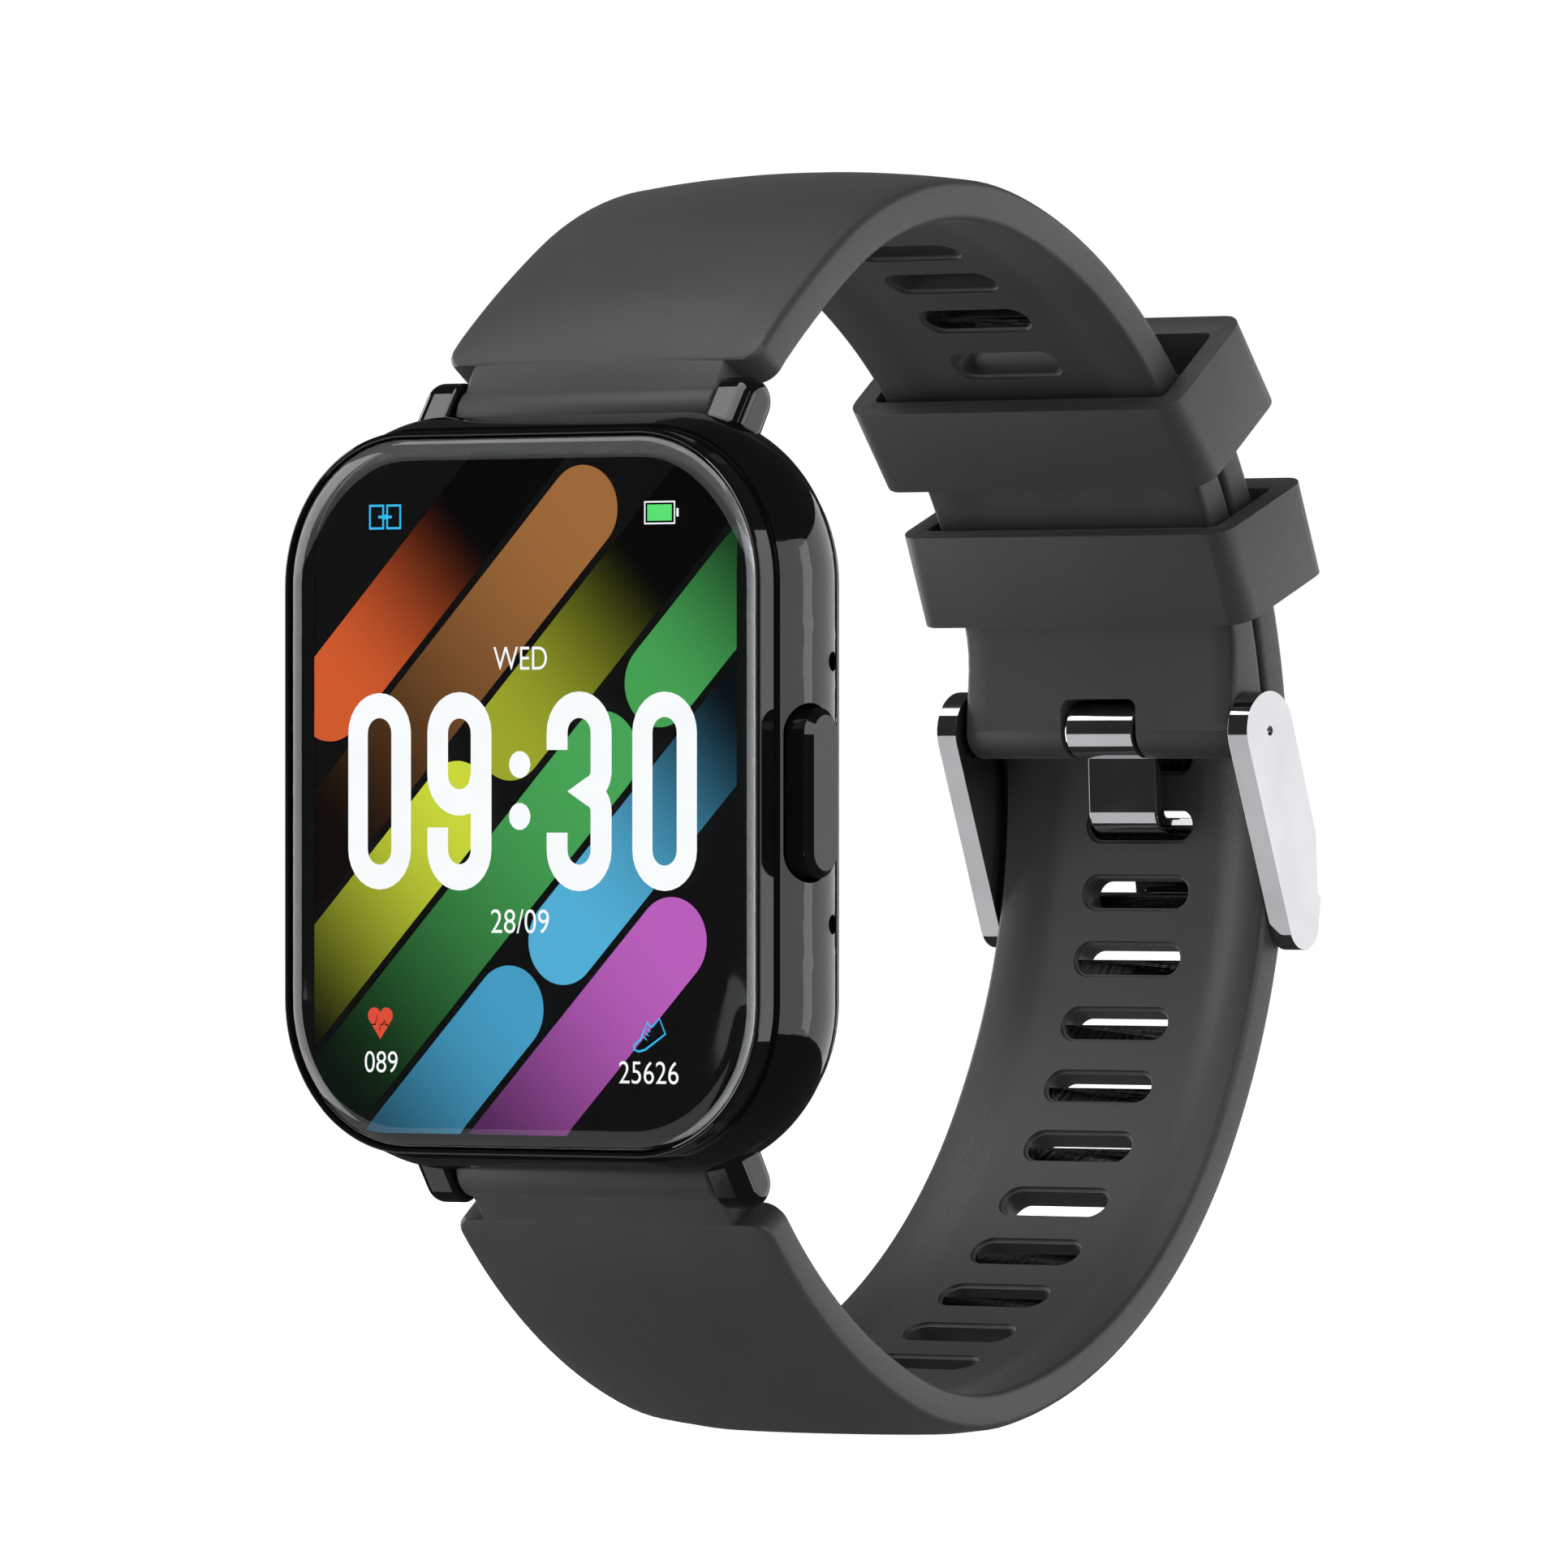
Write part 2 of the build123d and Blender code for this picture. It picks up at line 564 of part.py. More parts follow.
short_side = band(short_route, SHORT_THICKNESS)
swell = [(PIN_Y, PIN_Z)]
for swell_radius, swell_angle in (
    (PIN_RADIUS_IN_LOOP - TONGUE_COIL_RADIUS, PIN_ANGLE),
    (SHORT_MID - SHORT_THICKNESS / 2, SWELL_ANGLE),
    (SHORT_MID, SWELL_ANGLE),
):
    swell_turn = math.radians(swell_angle)
    swell.append((LOOP_Y + swell_radius * math.cos(swell_turn), swell_radius * math.sin(swell_turn)))
short_limits = strap_outline(BAR_Z)
with BuildPart() as strap_short:
    extrude(short_side, amount=STRAP_WIDTH_FRONT / 2, both=True)
    with Locations((0, BAR_Y, BAR_Z)):
        Cylinder(STRAP_END_RADIUS, STRAP_WIDTH_FRONT, rotation=(0, 90, 0))
    with Locations((0, PIN_Y, PIN_Z)):
        Cylinder(TONGUE_COIL_RADIUS, STRAP_WIDTH_FRONT, rotation=(0, 90, 0))
    with BuildSketch(Plane.YZ):
        Polygon(*swell, align=None)
    extrude(amount=STRAP_WIDTH_FRONT / 2, both=True)
    add(short_limits, mode=Mode.INTERSECT)
    with Locations((0, BAR_Y, BAR_Z)):
        Cylinder(BARREL_RADIUS + RUNNING, FAR, rotation=(0, 90, 0), mode=Mode.SUBTRACT)
    with Locations((0, PIN_Y, PIN_Z)):
        Cylinder(PIN_BORE_RADIUS, FAR, rotation=(0, 90, 0), mode=Mode.SUBTRACT)
        Box(TONGUE_WINDOW_WIDTH, 10, 2 * (TONGUE_WINDOW_TOP - PIN_Z), mode=Mode.SUBTRACT)
    for index in range(VENT_SLOTS):
        with BuildSketch(loop_plane(SHORT_MID - 4, VENT_START + index * VENT_STEP)):
            SlotOverall(SLOT_LENGTH, SLOT_WIDTH)
        extrude(amount=8, mode=Mode.SUBTRACT)
save(strap_short.part, "strap_short")

long_side = band(long_route, LONG_THICKNESS)
tail_side = band(tail_route, LONG_THICKNESS)
long_limits = strap_outline(-BAR_Z)
with BuildPart() as strap_long:
    extrude(long_side, amount=STRAP_WIDTH_FRONT / 2, both=True)
    extrude(tail_side, amount=STRAP_WIDTH_FRONT / 2, both=True)
    with Locations((0, BAR_Y, -BAR_Z)):
        Cylinder(STRAP_END_RADIUS, STRAP_WIDTH_FRONT, rotation=(0, 90, 0))
    add(long_limits, mode=Mode.INTERSECT)
    with Locations((0, BAR_Y, -BAR_Z)):
        Cylinder(BARREL_RADIUS + RUNNING, FAR, rotation=(0, 90, 0), mode=Mode.SUBTRACT)
    tongue_slot_angle = math.degrees(math.asin(TONGUE_SLOT_Z / LONG_MID))
    first_slot = -math.radians(tongue_slot_angle) * LONG_MID
    for index in range(SLOTS_DOWN + 1):
        slot_y, slot_z, slot_angle = spot(long_route, first_slot + index * SLOT_PITCH)
        with BuildSketch(radial_plane(slot_y, slot_z, slot_angle).offset(-3)):
            SlotOverall(SLOT_LENGTH, SLOT_WIDTH)
        extrude(amount=6, mode=Mode.SUBTRACT)
    for index in range(1, SLOTS_UP + 1):
        slot_angle = tongue_slot_angle + math.degrees(index * SLOT_PITCH / LONG_MID)
        with BuildSketch(loop_plane(LONG_MID - 3, slot_angle)):
            SlotOverall(SLOT_LENGTH, SLOT_WIDTH)
        extrude(amount=6, mode=Mode.SUBTRACT)
    # the tail's rounded corners
    with BuildSketch(loop_plane(LONG_MID - 3, TAIL_ANGLE)):
        Rectangle(FAR, 4 * TAIL_CORNER)
        with Locations((0, -FAR / 2)):
            RectangleRounded(TAIL_WIDTH, FAR, TAIL_CORNER, mode=Mode.SUBTRACT)
        with Locations((0, -3 * TAIL_CORNER)):
            Rectangle(FAR, 4 * TAIL_CORNER, mode=Mode.SUBTRACT)
    extrude(amount=6, mode=Mode.SUBTRACT)
save(strap_long.part, "strap_long")

# ---------------------------------------------------------------- keepers
for keeper_name, keeper_angle in KEEPER_ANGLES.items():
    turn = math.radians(keeper_angle)
    middle = KEEPER_INNER_RADIUS + KEEPER_DEPTH / 2
    along = Plane(
        origin=(0, LOOP_Y + middle * math.cos(turn), middle * math.sin(turn)),
        x_dir=(1, 0, 0),
        z_dir=(0, -math.sin(turn), math.cos(turn)),
    )
    hole_depth = KEEPER_DEPTH - KEEPER_WALL - KEEPER_OUTER_WALL
    with BuildPart() as keeper:
        with BuildSketch(along):
            RectangleRounded(KEEPER_WIDTH, KEEPER_DEPTH, 1.2)
            with Locations((0, (KEEPER_WALL - KEEPER_OUTER_WALL) / 2)):
                RectangleRounded(KEEPER_WIDTH - 2 * KEEPER_WALL, hole_depth, 0.3, mode=Mode.SUBTRACT)
        extrude(amount=KEEPER_LENGTH / 2, both=True)
    save(keeper.part, keeper_name)

# ---------------------------------------------------------------- buckle
with BuildPart() as buckle_frame:
    for side in (-1, 1):
        with BuildSketch(Plane.YZ.offset(side * (ARM_INNER_X + ARM_THICKNESS / 2))):
            with Locations((PIN_Y, PIN_Z)):
                Circle(ARM_HEAD_RADIUS)
            with Locations(ARM_MIDDLE):
                Circle(ARM_MIDDLE_RADIUS)
            with Locations(ARM_TIP):
                Circle(ARM_TIP_RADIUS)
            make_hull()
        extrude(amount=ARM_THICKNESS / 2, both=True)
    with BuildSketch(Plane.YZ):
        with Locations(BUCKLE_BAR):
            RectangleRounded(*BUCKLE_BAR_SIZE, 0.4, rotation=BUCKLE_BAR_TILT)
    extrude(amount=ARM_INNER_X + ARM_THICKNESS, both=True)
    for side in (-1, 1):
        # blind hole for the pin's end, and the small dimple on the outside
        with BuildSketch(Plane.YZ.offset(side * (ARM_INNER_X - 0.1))):
            with Locations((PIN_Y, PIN_Z)):
                Circle(TIP_RADIUS + RUNNING)
        extrude(amount=side * 1.0, mode=Mode.SUBTRACT)
        with BuildSketch(Plane.YZ.offset(side * (ARM_INNER_X + ARM_THICKNESS - 0.3))):
            with Locations((PIN_Y, PIN_Z)):
                Circle(0.3)
        extrude(amount=side * 1.0, mode=Mode.SUBTRACT)
save(buckle_frame.part, "buckle_frame")

with BuildPart() as buckle_pin:
    with Locations((0, PIN_Y, PIN_Z)):
        Cylinder(PIN_BORE_RADIUS - RUNNING, 2 * ARM_INNER_X - 0.4, rotation=(0, 90, 0))
        Cylinder(TIP_RADIUS, 2 * (ARM_INNER_X + 0.8), rotation=(0, 90, 0))
save(buckle_pin.part, "buckle_pin")

with BuildPart() as buckle_tongue:
    with BuildSketch(Plane.YZ):
        with BuildLine():
            FilletPolyline(
                (PIN_Y + 1.2, PIN_Z),
                (PIN_Y + 1.45, TONGUE_SLOT_Z),
                (PIN_Y + 5.45, TONGUE_SLOT_Z),
                (PIN_Y + 7.1, PIN_Z - 12.5),
                radius=TONGUE_BEND_RADIUS,
            )
        trace(line_width=TONGUE_THICKNESS)
        with Locations((PIN_Y, PIN_Z)):
            Circle(TONGUE_COIL_RADIUS)
            Circle(PIN_BORE_RADIUS, mode=Mode.SUBTRACT)
    extrude(amount=TONGUE_WIDTH / 2, both=True)
save(buckle_tongue.part, "buckle_tongue")
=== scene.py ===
"""Looks of a square-faced smartwatch on a buckled silicone strap, built round its CAD frame.

Lengths are written in millimetres and turned to metres where a mesh is made. +Z is 12 o'clock,
+X is the button's side, the display faces -Y and the strap closes at +Y.
"""

import logging
import math
from dataclasses import dataclass, field
from enum import Enum
from typing import Callable, Iterable, Sequence

import bpy
from mathutils import Matrix, Vector


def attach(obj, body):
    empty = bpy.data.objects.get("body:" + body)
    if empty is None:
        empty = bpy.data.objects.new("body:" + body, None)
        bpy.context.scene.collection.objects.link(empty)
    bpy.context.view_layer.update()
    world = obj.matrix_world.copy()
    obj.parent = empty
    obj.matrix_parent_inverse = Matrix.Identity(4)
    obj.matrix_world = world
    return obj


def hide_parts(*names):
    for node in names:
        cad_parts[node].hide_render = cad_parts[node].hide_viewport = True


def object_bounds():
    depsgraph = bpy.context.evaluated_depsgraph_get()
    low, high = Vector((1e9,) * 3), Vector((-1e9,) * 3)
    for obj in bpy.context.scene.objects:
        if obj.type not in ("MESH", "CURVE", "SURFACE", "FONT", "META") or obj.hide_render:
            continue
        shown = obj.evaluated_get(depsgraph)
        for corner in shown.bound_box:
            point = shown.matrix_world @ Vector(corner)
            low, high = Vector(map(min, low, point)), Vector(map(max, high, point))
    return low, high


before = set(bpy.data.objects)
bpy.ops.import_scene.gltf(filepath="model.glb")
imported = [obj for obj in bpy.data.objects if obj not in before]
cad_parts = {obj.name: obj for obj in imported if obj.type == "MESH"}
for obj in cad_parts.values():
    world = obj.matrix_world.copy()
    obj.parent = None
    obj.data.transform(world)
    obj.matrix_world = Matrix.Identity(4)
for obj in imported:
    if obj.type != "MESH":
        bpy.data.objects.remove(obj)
CAD_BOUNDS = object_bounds()
LOG = logging.getLogger("smartwatch")
MM = 0.001
Point = tuple[float, float]
Triple = tuple[float, float, float]
Colour = tuple[float, float, float, float]
Piece = bpy.types.Object
Socket = bpy.types.NodeSocket
EVEN: Triple = (1.0, 1.0, 1.0)
ORIGIN: Triple = (0.0, 0.0, 0.0)
ROD_SIDES = 64
THROUGH = 40.0  # a cutter that is longer than anything it cuts, mm


# ------------------------------------------------------------------ colours and nodes
def linear(code: str, alpha: float = 1.0) -> Colour:
    """Turn an sRGB hex code into a linear colour.

    Args:
        code: the colour as "#rrggbb".
        alpha: the fourth value.

    Returns:
        Red, green, blue and alpha, linear.
    """
    values = [int(code[i : i + 2], 16) / 255 for i in (1, 3, 5)]
    straight = [v / 12.92 if v <= 0.04045 else ((v + 0.055) / 1.055) ** 2.4 for v in values]
    return (*straight, alpha)


def add_node(
    tree: bpy.types.NodeTree, kind: str, sockets: dict | None = None, **settings: object
) -> bpy.types.Node:
    """Add a node with its settings and links.

    Args:
        tree: the node tree.
        kind: the node's type name.
        sockets: an input's name or number, and the socket that feeds it or its fixed value.
        settings: the node's own attributes.

    Returns:
        The new node.
    """
    node = tree.nodes.new(kind)
    for key, value in settings.items():
        setattr(node, key, value)
    for target, source in (sockets or {}).items():
        if isinstance(source, Socket):
            tree.links.new(source, node.inputs[target])
        else:
            node.inputs[target].default_value = source
    return node


class Recipe:
    """A material under way: its shader, and the patterns that colour, polish and raise it."""

    def __init__(self, name: str, **sockets: object) -> None:
        """Start a material.

        Args:
            name: the material's name.
            sockets: fixed values of the shader's inputs, with _ for each space.
        """
        self.material = bpy.data.materials.new(name)
        self.material.use_nodes = True
        self.tree = self.material.node_tree
        self.shader = self.tree.nodes["Principled BSDF"]
        for key, value in sockets.items():
            self.shader.inputs[key.replace("_", " ")].default_value = value

    def add(self, kind: str, sockets: dict | None = None, **settings: object) -> bpy.types.Node:
        """Add a node to this material."""
        return add_node(self.tree, kind, sockets, **settings)

    def feed(self, target: str, source: Socket) -> None:
        """Link a pattern to one of the shader's inputs."""
        self.tree.links.new(source, self.shader.inputs[target])

    def patches(
        self,
        size_mm: float,
        low: float = 0.0,
        high: float = 1.0,
        detail: float = 2.0,
        stretch: Triple = EVEN,
    ) -> Socket:
        """Soft blotches fixed to the piece.

        Args:
            size_mm: about how far across a blotch is.
            low: the value between blotches.
            high: the value in their middles.
            detail: how broken their edges are.
            stretch: scale along each axis, under 1 for blotches drawn out along it.

        Returns:
            The pattern's value.
        """
        place = self.add("ShaderNodeTexCoord").outputs["Object"]
        drawn = self.add("ShaderNodeMapping", {"Vector": place, "Scale": stretch}).outputs[0]
        wanted = {"Vector": drawn, "Scale": 1 / (size_mm * MM), "Detail": detail}
        noise = self.add("ShaderNodeTexNoise", wanted).outputs["Fac"]
        spread = {"Value": noise, "From Min": 0.3, "From Max": 0.7, "To Min": low, "To Max": high}
        return self.add("ShaderNodeMapRange", spread).outputs["Result"]

    def tint(
        self, factor: Socket, deep: Colour, pale: Colour, target: str = "Base Color"
    ) -> None:
        """Colour the surface between two tones by a pattern."""
        mixed = self.add("ShaderNodeMix", {0: factor, 6: deep, 7: pale}, data_type="RGBA")
        self.feed(target, mixed.outputs[2])

    def relief(self, height: Socket, depth_mm: float, strength: float = 1.0) -> None:
        """Raise the surface by a pattern."""
        wanted = {"Height": height, "Strength": strength, "Distance": depth_mm * MM}
        self.feed("Normal", self.add("ShaderNodeBump", wanted).outputs["Normal"])


# ------------------------------------------------------------------ finishes
@dataclass(frozen=True)
class MouldedPlastic:
    """ABS, acrylic or polycarbonate from a mould: polished piano black, or satin."""

    name: str
    deep: str
    pale: str
    roughness: float
    ripple_mm: float = 2.2
    ripple_depth_mm: float = 0.0006
    tone_mm: float = 9.0
    mark_mm: float = 6.0
    mark_detail: float = 4.0
    mark_spread: Point = (0.85, 1.2)  # shares of the roughness

    def material(self) -> bpy.types.Material:
        """Deep gloss with faint handling marks and the mould's ripple in its reflections."""
        recipe = Recipe(self.name, IOR=1.5)
        recipe.tint(recipe.patches(self.tone_mm), linear(self.deep), linear(self.pale))
        low, high = (self.roughness * share for share in self.mark_spread)
        recipe.feed("Roughness", recipe.patches(self.mark_mm, low, high, self.mark_detail))
        recipe.relief(recipe.patches(self.ripple_mm), self.ripple_depth_mm)
        return recipe.material


@dataclass(frozen=True)
class Silicone:
    """Silicone rubber from a spark-eroded mould: matte, fine grained, with a powdery bloom."""

    name: str
    deep: str
    bloom: str
    grain_mm: float = 0.16  # the mould's grain is finer; this is as coarse as it needs to show
    grain_depth_mm: float = 0.006
    grain_strength: float = 0.6
    bloom_mm: float = 12.0
    bloom_detail: float = 3.0
    roughness: Point = (0.41, 0.53)

    def material(self) -> bpy.types.Material:
        """A broad soft highlight over charcoal that is a little paler in patches."""
        recipe = Recipe(self.name, IOR=1.42, Sheen_Weight=0.06, Sheen_Roughness=0.5)
        powder = recipe.patches(self.bloom_mm, detail=self.bloom_detail)
        recipe.tint(powder, linear(self.deep), linear(self.bloom))
        grain = recipe.patches(self.grain_mm)
        wanted = {"Value": grain, "To Min": self.roughness[0], "To Max": self.roughness[1]}
        recipe.feed("Roughness", recipe.add("ShaderNodeMapRange", wanted).outputs["Result"])
        recipe.relief(grain, self.grain_depth_mm, self.grain_strength)
        return recipe.material


@dataclass(frozen=True)
class Metal:
    """Plated or turned metal: chrome, steel, gold."""

    name: str
    dull: str
    bright: str
    roughness: float
    mark_mm: float = 3.0
    mark_depth_mm: float = 0.0004
    drawn: Triple = EVEN
    tone_mm: float = 5.0
    mark_detail: float = 3.0
    mark_spread: Point = (0.75, 1.35)  # shares of the roughness

    def material(self) -> bpy.types.Material:
        """Clear reflections broken by polishing haze, or by tool marks drawn out along one axis."""
        recipe = Recipe(self.name, Metallic=1.0)
        recipe.tint(recipe.patches(self.tone_mm), linear(self.dull), linear(self.bright))
        low, high = (self.roughness * share for share in self.mark_spread)
        haze = recipe.patches(self.mark_mm, low, high, self.mark_detail, self.drawn)
        recipe.feed("Roughness", haze)
        recipe.relief(recipe.patches(self.mark_mm, stretch=self.drawn), self.mark_depth_mm)
        return recipe.material


@dataclass(frozen=True)
class CoverGlass:
    """Hardened cover glass, ground and polished, with an oil-repellent coat."""

    name: str = "hardened_cover_glass"
    grease_mm: float = 14.0
    grease_detail: float = 4.0
    grease_roughness: float = 0.018

    def material(self) -> bpy.types.Material:
        """Clear glass whose gloss has a trace of wiped finger grease."""
        recipe = Recipe(self.name, Transmission_Weight=1.0, IOR=1.47, Base_Color=linear("#f4f7f8"))
        grease = recipe.patches(self.grease_mm, 0.0, self.grease_roughness, self.grease_detail)
        recipe.feed("Roughness", grease)
        return recipe.material


@dataclass(frozen=True)
class FlatBlack:
    """Black that gives nothing back: screen-printed ink, or display pixels that are off."""

    name: str
    dot_mm: float
    roughness: Point = (0.5, 0.7)

    def material(self) -> bpy.types.Material:
        """Dense black with the faint tooth of the print screen or of the pixel rows."""
        recipe = Recipe(self.name, Specular_IOR_Level=0.05)
        recipe.tint(recipe.patches(self.dot_mm), linear("#010101"), linear("#040405"))
        recipe.feed("Roughness", recipe.patches(self.dot_mm, *self.roughness))
        return recipe.material


@dataclass(frozen=True)
class Lit:
    """Display pixels that are on: one colour, or a run between two along the rising diagonal."""

    name: str
    near: str
    far: str | None = None
    near_at: float = 0.0  # places along the diagonal, mm
    far_at: float = 10.0
    strength: float = 1.0
    cell_mm: float = 3.0
    dimmest: float = 0.96  # share of the colour in the dimmest cells

    def material(self) -> bpy.types.Material:
        """Emitted light, with the slight unevenness of a small panel."""
        black = (0.0, 0.0, 0.0, 1.0)
        recipe = Recipe(self.name, Base_Color=black, Roughness=0.6, Specular_IOR_Level=0.0)
        near = linear(self.near)
        if self.far is None:
            dimmer = (*(v * self.dimmest for v in near[:3]), 1.0)
            recipe.tint(recipe.patches(self.cell_mm), dimmer, near, "Emission Color")
        else:
            place = recipe.add("ShaderNodeTexCoord").outputs["Object"]
            split = recipe.add("ShaderNodeSeparateXYZ", {0: place}).outputs
            along = recipe.add("ShaderNodeMath", {0: split["X"], 1: split["Z"]}, operation="ADD")
            ends = {"From Min": 2 * self.near_at * MM, "From Max": 2 * self.far_at * MM}
            run = {"Value": along.outputs[0], **ends}
            share = recipe.add("ShaderNodeMapRange", run, interpolation_type="SMOOTHSTEP")
            recipe.tint(share.outputs["Result"], near, linear(self.far), "Emission Color")
        recipe.shader.inputs["Emission Strength"].default_value = self.strength
        return recipe.material


@dataclass(frozen=True)
class Laminate:
    """Circuit board, foil pouch and other flat stock inside the case."""

    name: str
    ground: str
    marking: str
    cell_mm: float
    roughness: float = 0.4
    metallic: float = 0.0
    wear_mm: float = 4.0
    wear_spread: Point = (0.8, 1.2)  # shares of the roughness
    relief_mm: float = 0.01
    relief_strength: float = 0.4

    def material(self) -> bpy.types.Material:
        """Two tones in cells, like copper under solder mask, or the wrinkles of a foil."""
        recipe = Recipe(self.name, Metallic=self.metallic)
        place = recipe.add("ShaderNodeTexCoord").outputs["Object"]
        wanted = {"Vector": place, "Scale": 1 / (self.cell_mm * MM)}
        cells = recipe.add("ShaderNodeTexVoronoi", wanted, distance="CHEBYCHEV").outputs["Distance"]
        recipe.tint(cells, linear(self.ground), linear(self.marking))
        low, high = (self.roughness * share for share in self.wear_spread)
        recipe.feed("Roughness", recipe.patches(self.wear_mm, low, high))
        recipe.relief(cells, self.relief_mm, self.relief_strength)
        return recipe.material


class Stock(Enum):
    """The finishes that this watch is made of."""

    PIANO_BLACK = MouldedPlastic("polished_piano_black_abs", "#060607", "#0a0a0b", 0.045)
    SATIN_BLACK = MouldedPlastic(
        "spark_grained_black_polycarbonate", "#0d0d0e", "#131314", 0.3, 0.3, 0.004
    )
    TINTED_WINDOW = MouldedPlastic("moulded_infrared_acrylic", "#0a0608", "#0e080b", 0.04)
    SEAL_RUBBER = Silicone("moulded_seal_rubber", "#141414", "#1c1c1c")
    STRAP_SILICONE = Silicone("moulded_charcoal_silicone", "#242425", "#2a2a2b")
    CHROME = Metal("polished_chrome_plate", "#b2b2b5", "#bcbcbf", 0.07)
    TURNED_STEEL = Metal(
        "turned_stainless_steel", "#a5a5a7", "#b9b9ba", 0.22, 0.4, 0.0004, (6.0, 0.4, 0.4)
    )
    DARK_STEEL = Metal("black_oxide_steel", "#3f3f42", "#5b5b5e", 0.3)
    GOLD = Metal("gold_flash_on_brass", "#d6a955", "#e6be70", 0.16)
    GLASS = CoverGlass()
    INK = FlatBlack("black_screen_print", 0.12)
    PANEL = FlatBlack("unlit_display_pixels", 0.09)
    BOARD = Laminate("green_solder_mask_board", "#0d3a22", "#14512f", 1.6)
    SENSOR_BOARD = Laminate("black_solder_mask_board", "#08080a", "#141416", 1.2)
    POUCH = Laminate("crimped_foil_battery_pouch", "#a9abad", "#c2c4c6", 2.4, 0.35, 0.9)
    MEMBRANE = Laminate("expanded_ptfe_membrane", "#cfcfcb", "#e2e2de", 0.3, 0.8)


_made: dict[str, bpy.types.Material] = {}


def dress(piece: Piece, finish: object) -> None:
    """Give a piece one material, made once for each finish.

    Args:
        piece: the object.
        finish: a member of Stock, or a finish.
    """
    recipe = finish.value if isinstance(finish, Enum) else finish
    if recipe.name not in _made:
        _made[recipe.name] = recipe.material()
    if not piece.data.materials:
        piece.data.materials.append(_made[recipe.name])
        return
    for index in range(len(piece.data.materials)):
        piece.data.materials[index] = _made[recipe.name]


# ------------------------------------------------------------------ bench tools
class Bench:
    """Modelling steps on the active object, done with Blender's operators."""

    @staticmethod
    def clear() -> None:
        """Leave edit mode and deselect everything."""
        if bpy.context.object and bpy.context.object.mode != "OBJECT":
            bpy.ops.object.mode_set(mode="OBJECT")
        bpy.ops.object.select_all(action="DESELECT")

    @staticmethod
    def take(piece: Piece) -> None:
        """Make a piece the only selected and active one."""
        Bench.clear()
        piece.select_set(True)
        bpy.context.view_layer.objects.active = piece

    @staticmethod
    def settle(name: str) -> Piece:
        """Name the new primitive and put its place and turn into its mesh.

        Args:
            name: the piece's name.

        Returns:
            The piece, with its object at the origin.
        """
        piece = bpy.context.object
        piece.name = name
        piece.data.name = name
        bpy.ops.object.transform_apply(location=True, rotation=True, scale=True)
        return piece

    @staticmethod
    def box(name: str, size: Sequence[float], centre: Sequence[float]) -> Piece:
        """A block of a size at a place, in mm."""
        Bench.clear()
        bpy.ops.mesh.primitive_cube_add(size=1, location=[c * MM for c in centre])
        bpy.context.object.scale = [s * MM for s in size]
        return Bench.settle(name)

    @staticmethod
    def rod(name: str, radius: float, length: float, centre: Sequence[float]) -> Piece:
        """A round rod along X, in mm."""
        Bench.clear()
        bpy.ops.mesh.primitive_cylinder_add(
            vertices=ROD_SIDES,
            radius=radius * MM,
            depth=length * MM,
            location=[c * MM for c in centre],
            rotation=(0, math.pi / 2, 0),
        )
        return Bench.settle(name)

    @staticmethod
    def pick(piece: Piece, kind: str, test: Callable[[Vector, Vector], bool]) -> None:
        """Enter edit mode with the edges or the faces selected that pass a test.

        Args:
            piece: the object.
            kind: EDGE, which is tested by its two ends, or FACE, by its centre and its normal.
            test: says yes to an edge or a face; places are in mm.
        """
        Bench.take(piece)
        bpy.ops.object.mode_set(mode="EDIT")
        bpy.ops.mesh.select_mode(type=kind)
        bpy.ops.mesh.select_all(action="DESELECT")
        bpy.ops.object.mode_set(mode="OBJECT")
        if kind == "FACE":
            for face in piece.data.polygons:
                face.select = test(face.center / MM, face.normal)
        else:
            points = [v.co / MM for v in piece.data.vertices]
            for edge in piece.data.edges:
                edge.select = test(*(points[end] for end in edge.vertices))
        bpy.ops.object.mode_set(mode="EDIT")

    @staticmethod
    def round_edges(
        piece: Piece, radius: float, segments: int, test: Callable[[Vector, Vector], bool]
    ) -> None:
        """Round the edges that pass a test.

        Args:
            piece: the object.
            radius: in mm.
            segments: faces across the rounding.
            test: says yes to an edge from its two ends.
        """
        Bench.pick(piece, "EDGE", test)
        bpy.ops.mesh.bevel(
            offset=radius * MM, segments=segments, affect="EDGES", clamp_overlap=True
        )
        bpy.ops.object.mode_set(mode="OBJECT")

    @staticmethod
    def slab(
        name: str, size: Triple, centre: Triple, corner: float, segments: int, axis: int = 1
    ) -> Piece:
        """A block whose four edges along an axis, 0 to 2, are rounded."""
        piece = Bench.box(name, size, centre)
        least = size[axis] / 2
        Bench.round_edges(piece, corner, segments, lambda a, b: abs(a[axis] - b[axis]) > least)
        return piece

    @staticmethod
    def combine(piece: Piece, tool: Piece, operation: str) -> None:
        """Cut a tool from a piece, or join it on, and remove the tool."""
        Bench.take(piece)
        step = piece.modifiers.new("combine", "BOOLEAN")
        step.operation = operation
        step.object = tool
        step.solver = "MANIFOLD"
        bpy.ops.object.modifier_apply(modifier=step.name)
        bpy.data.objects.remove(tool)

    @staticmethod
    def copy(piece: Piece, name: str, place: Matrix) -> Piece:
        """Copy a piece with its own mesh, moved by a matrix in metres."""
        twin = piece.copy()
        twin.data = piece.data.copy()
        twin.name = twin.data.name = name
        bpy.context.scene.collection.objects.link(twin)
        twin.data.transform(place)
        return twin

    @staticmethod
    def join(pieces: Sequence[Piece], name: str) -> Piece:
        """Join several pieces into one mesh."""
        Bench.clear()
        for piece in pieces:
            piece.select_set(True)
        bpy.context.view_layer.objects.active = pieces[0]
        if len(pieces) > 1:
            bpy.ops.object.join()
        pieces[0].name = pieces[0].data.name = name
        return pieces[0]

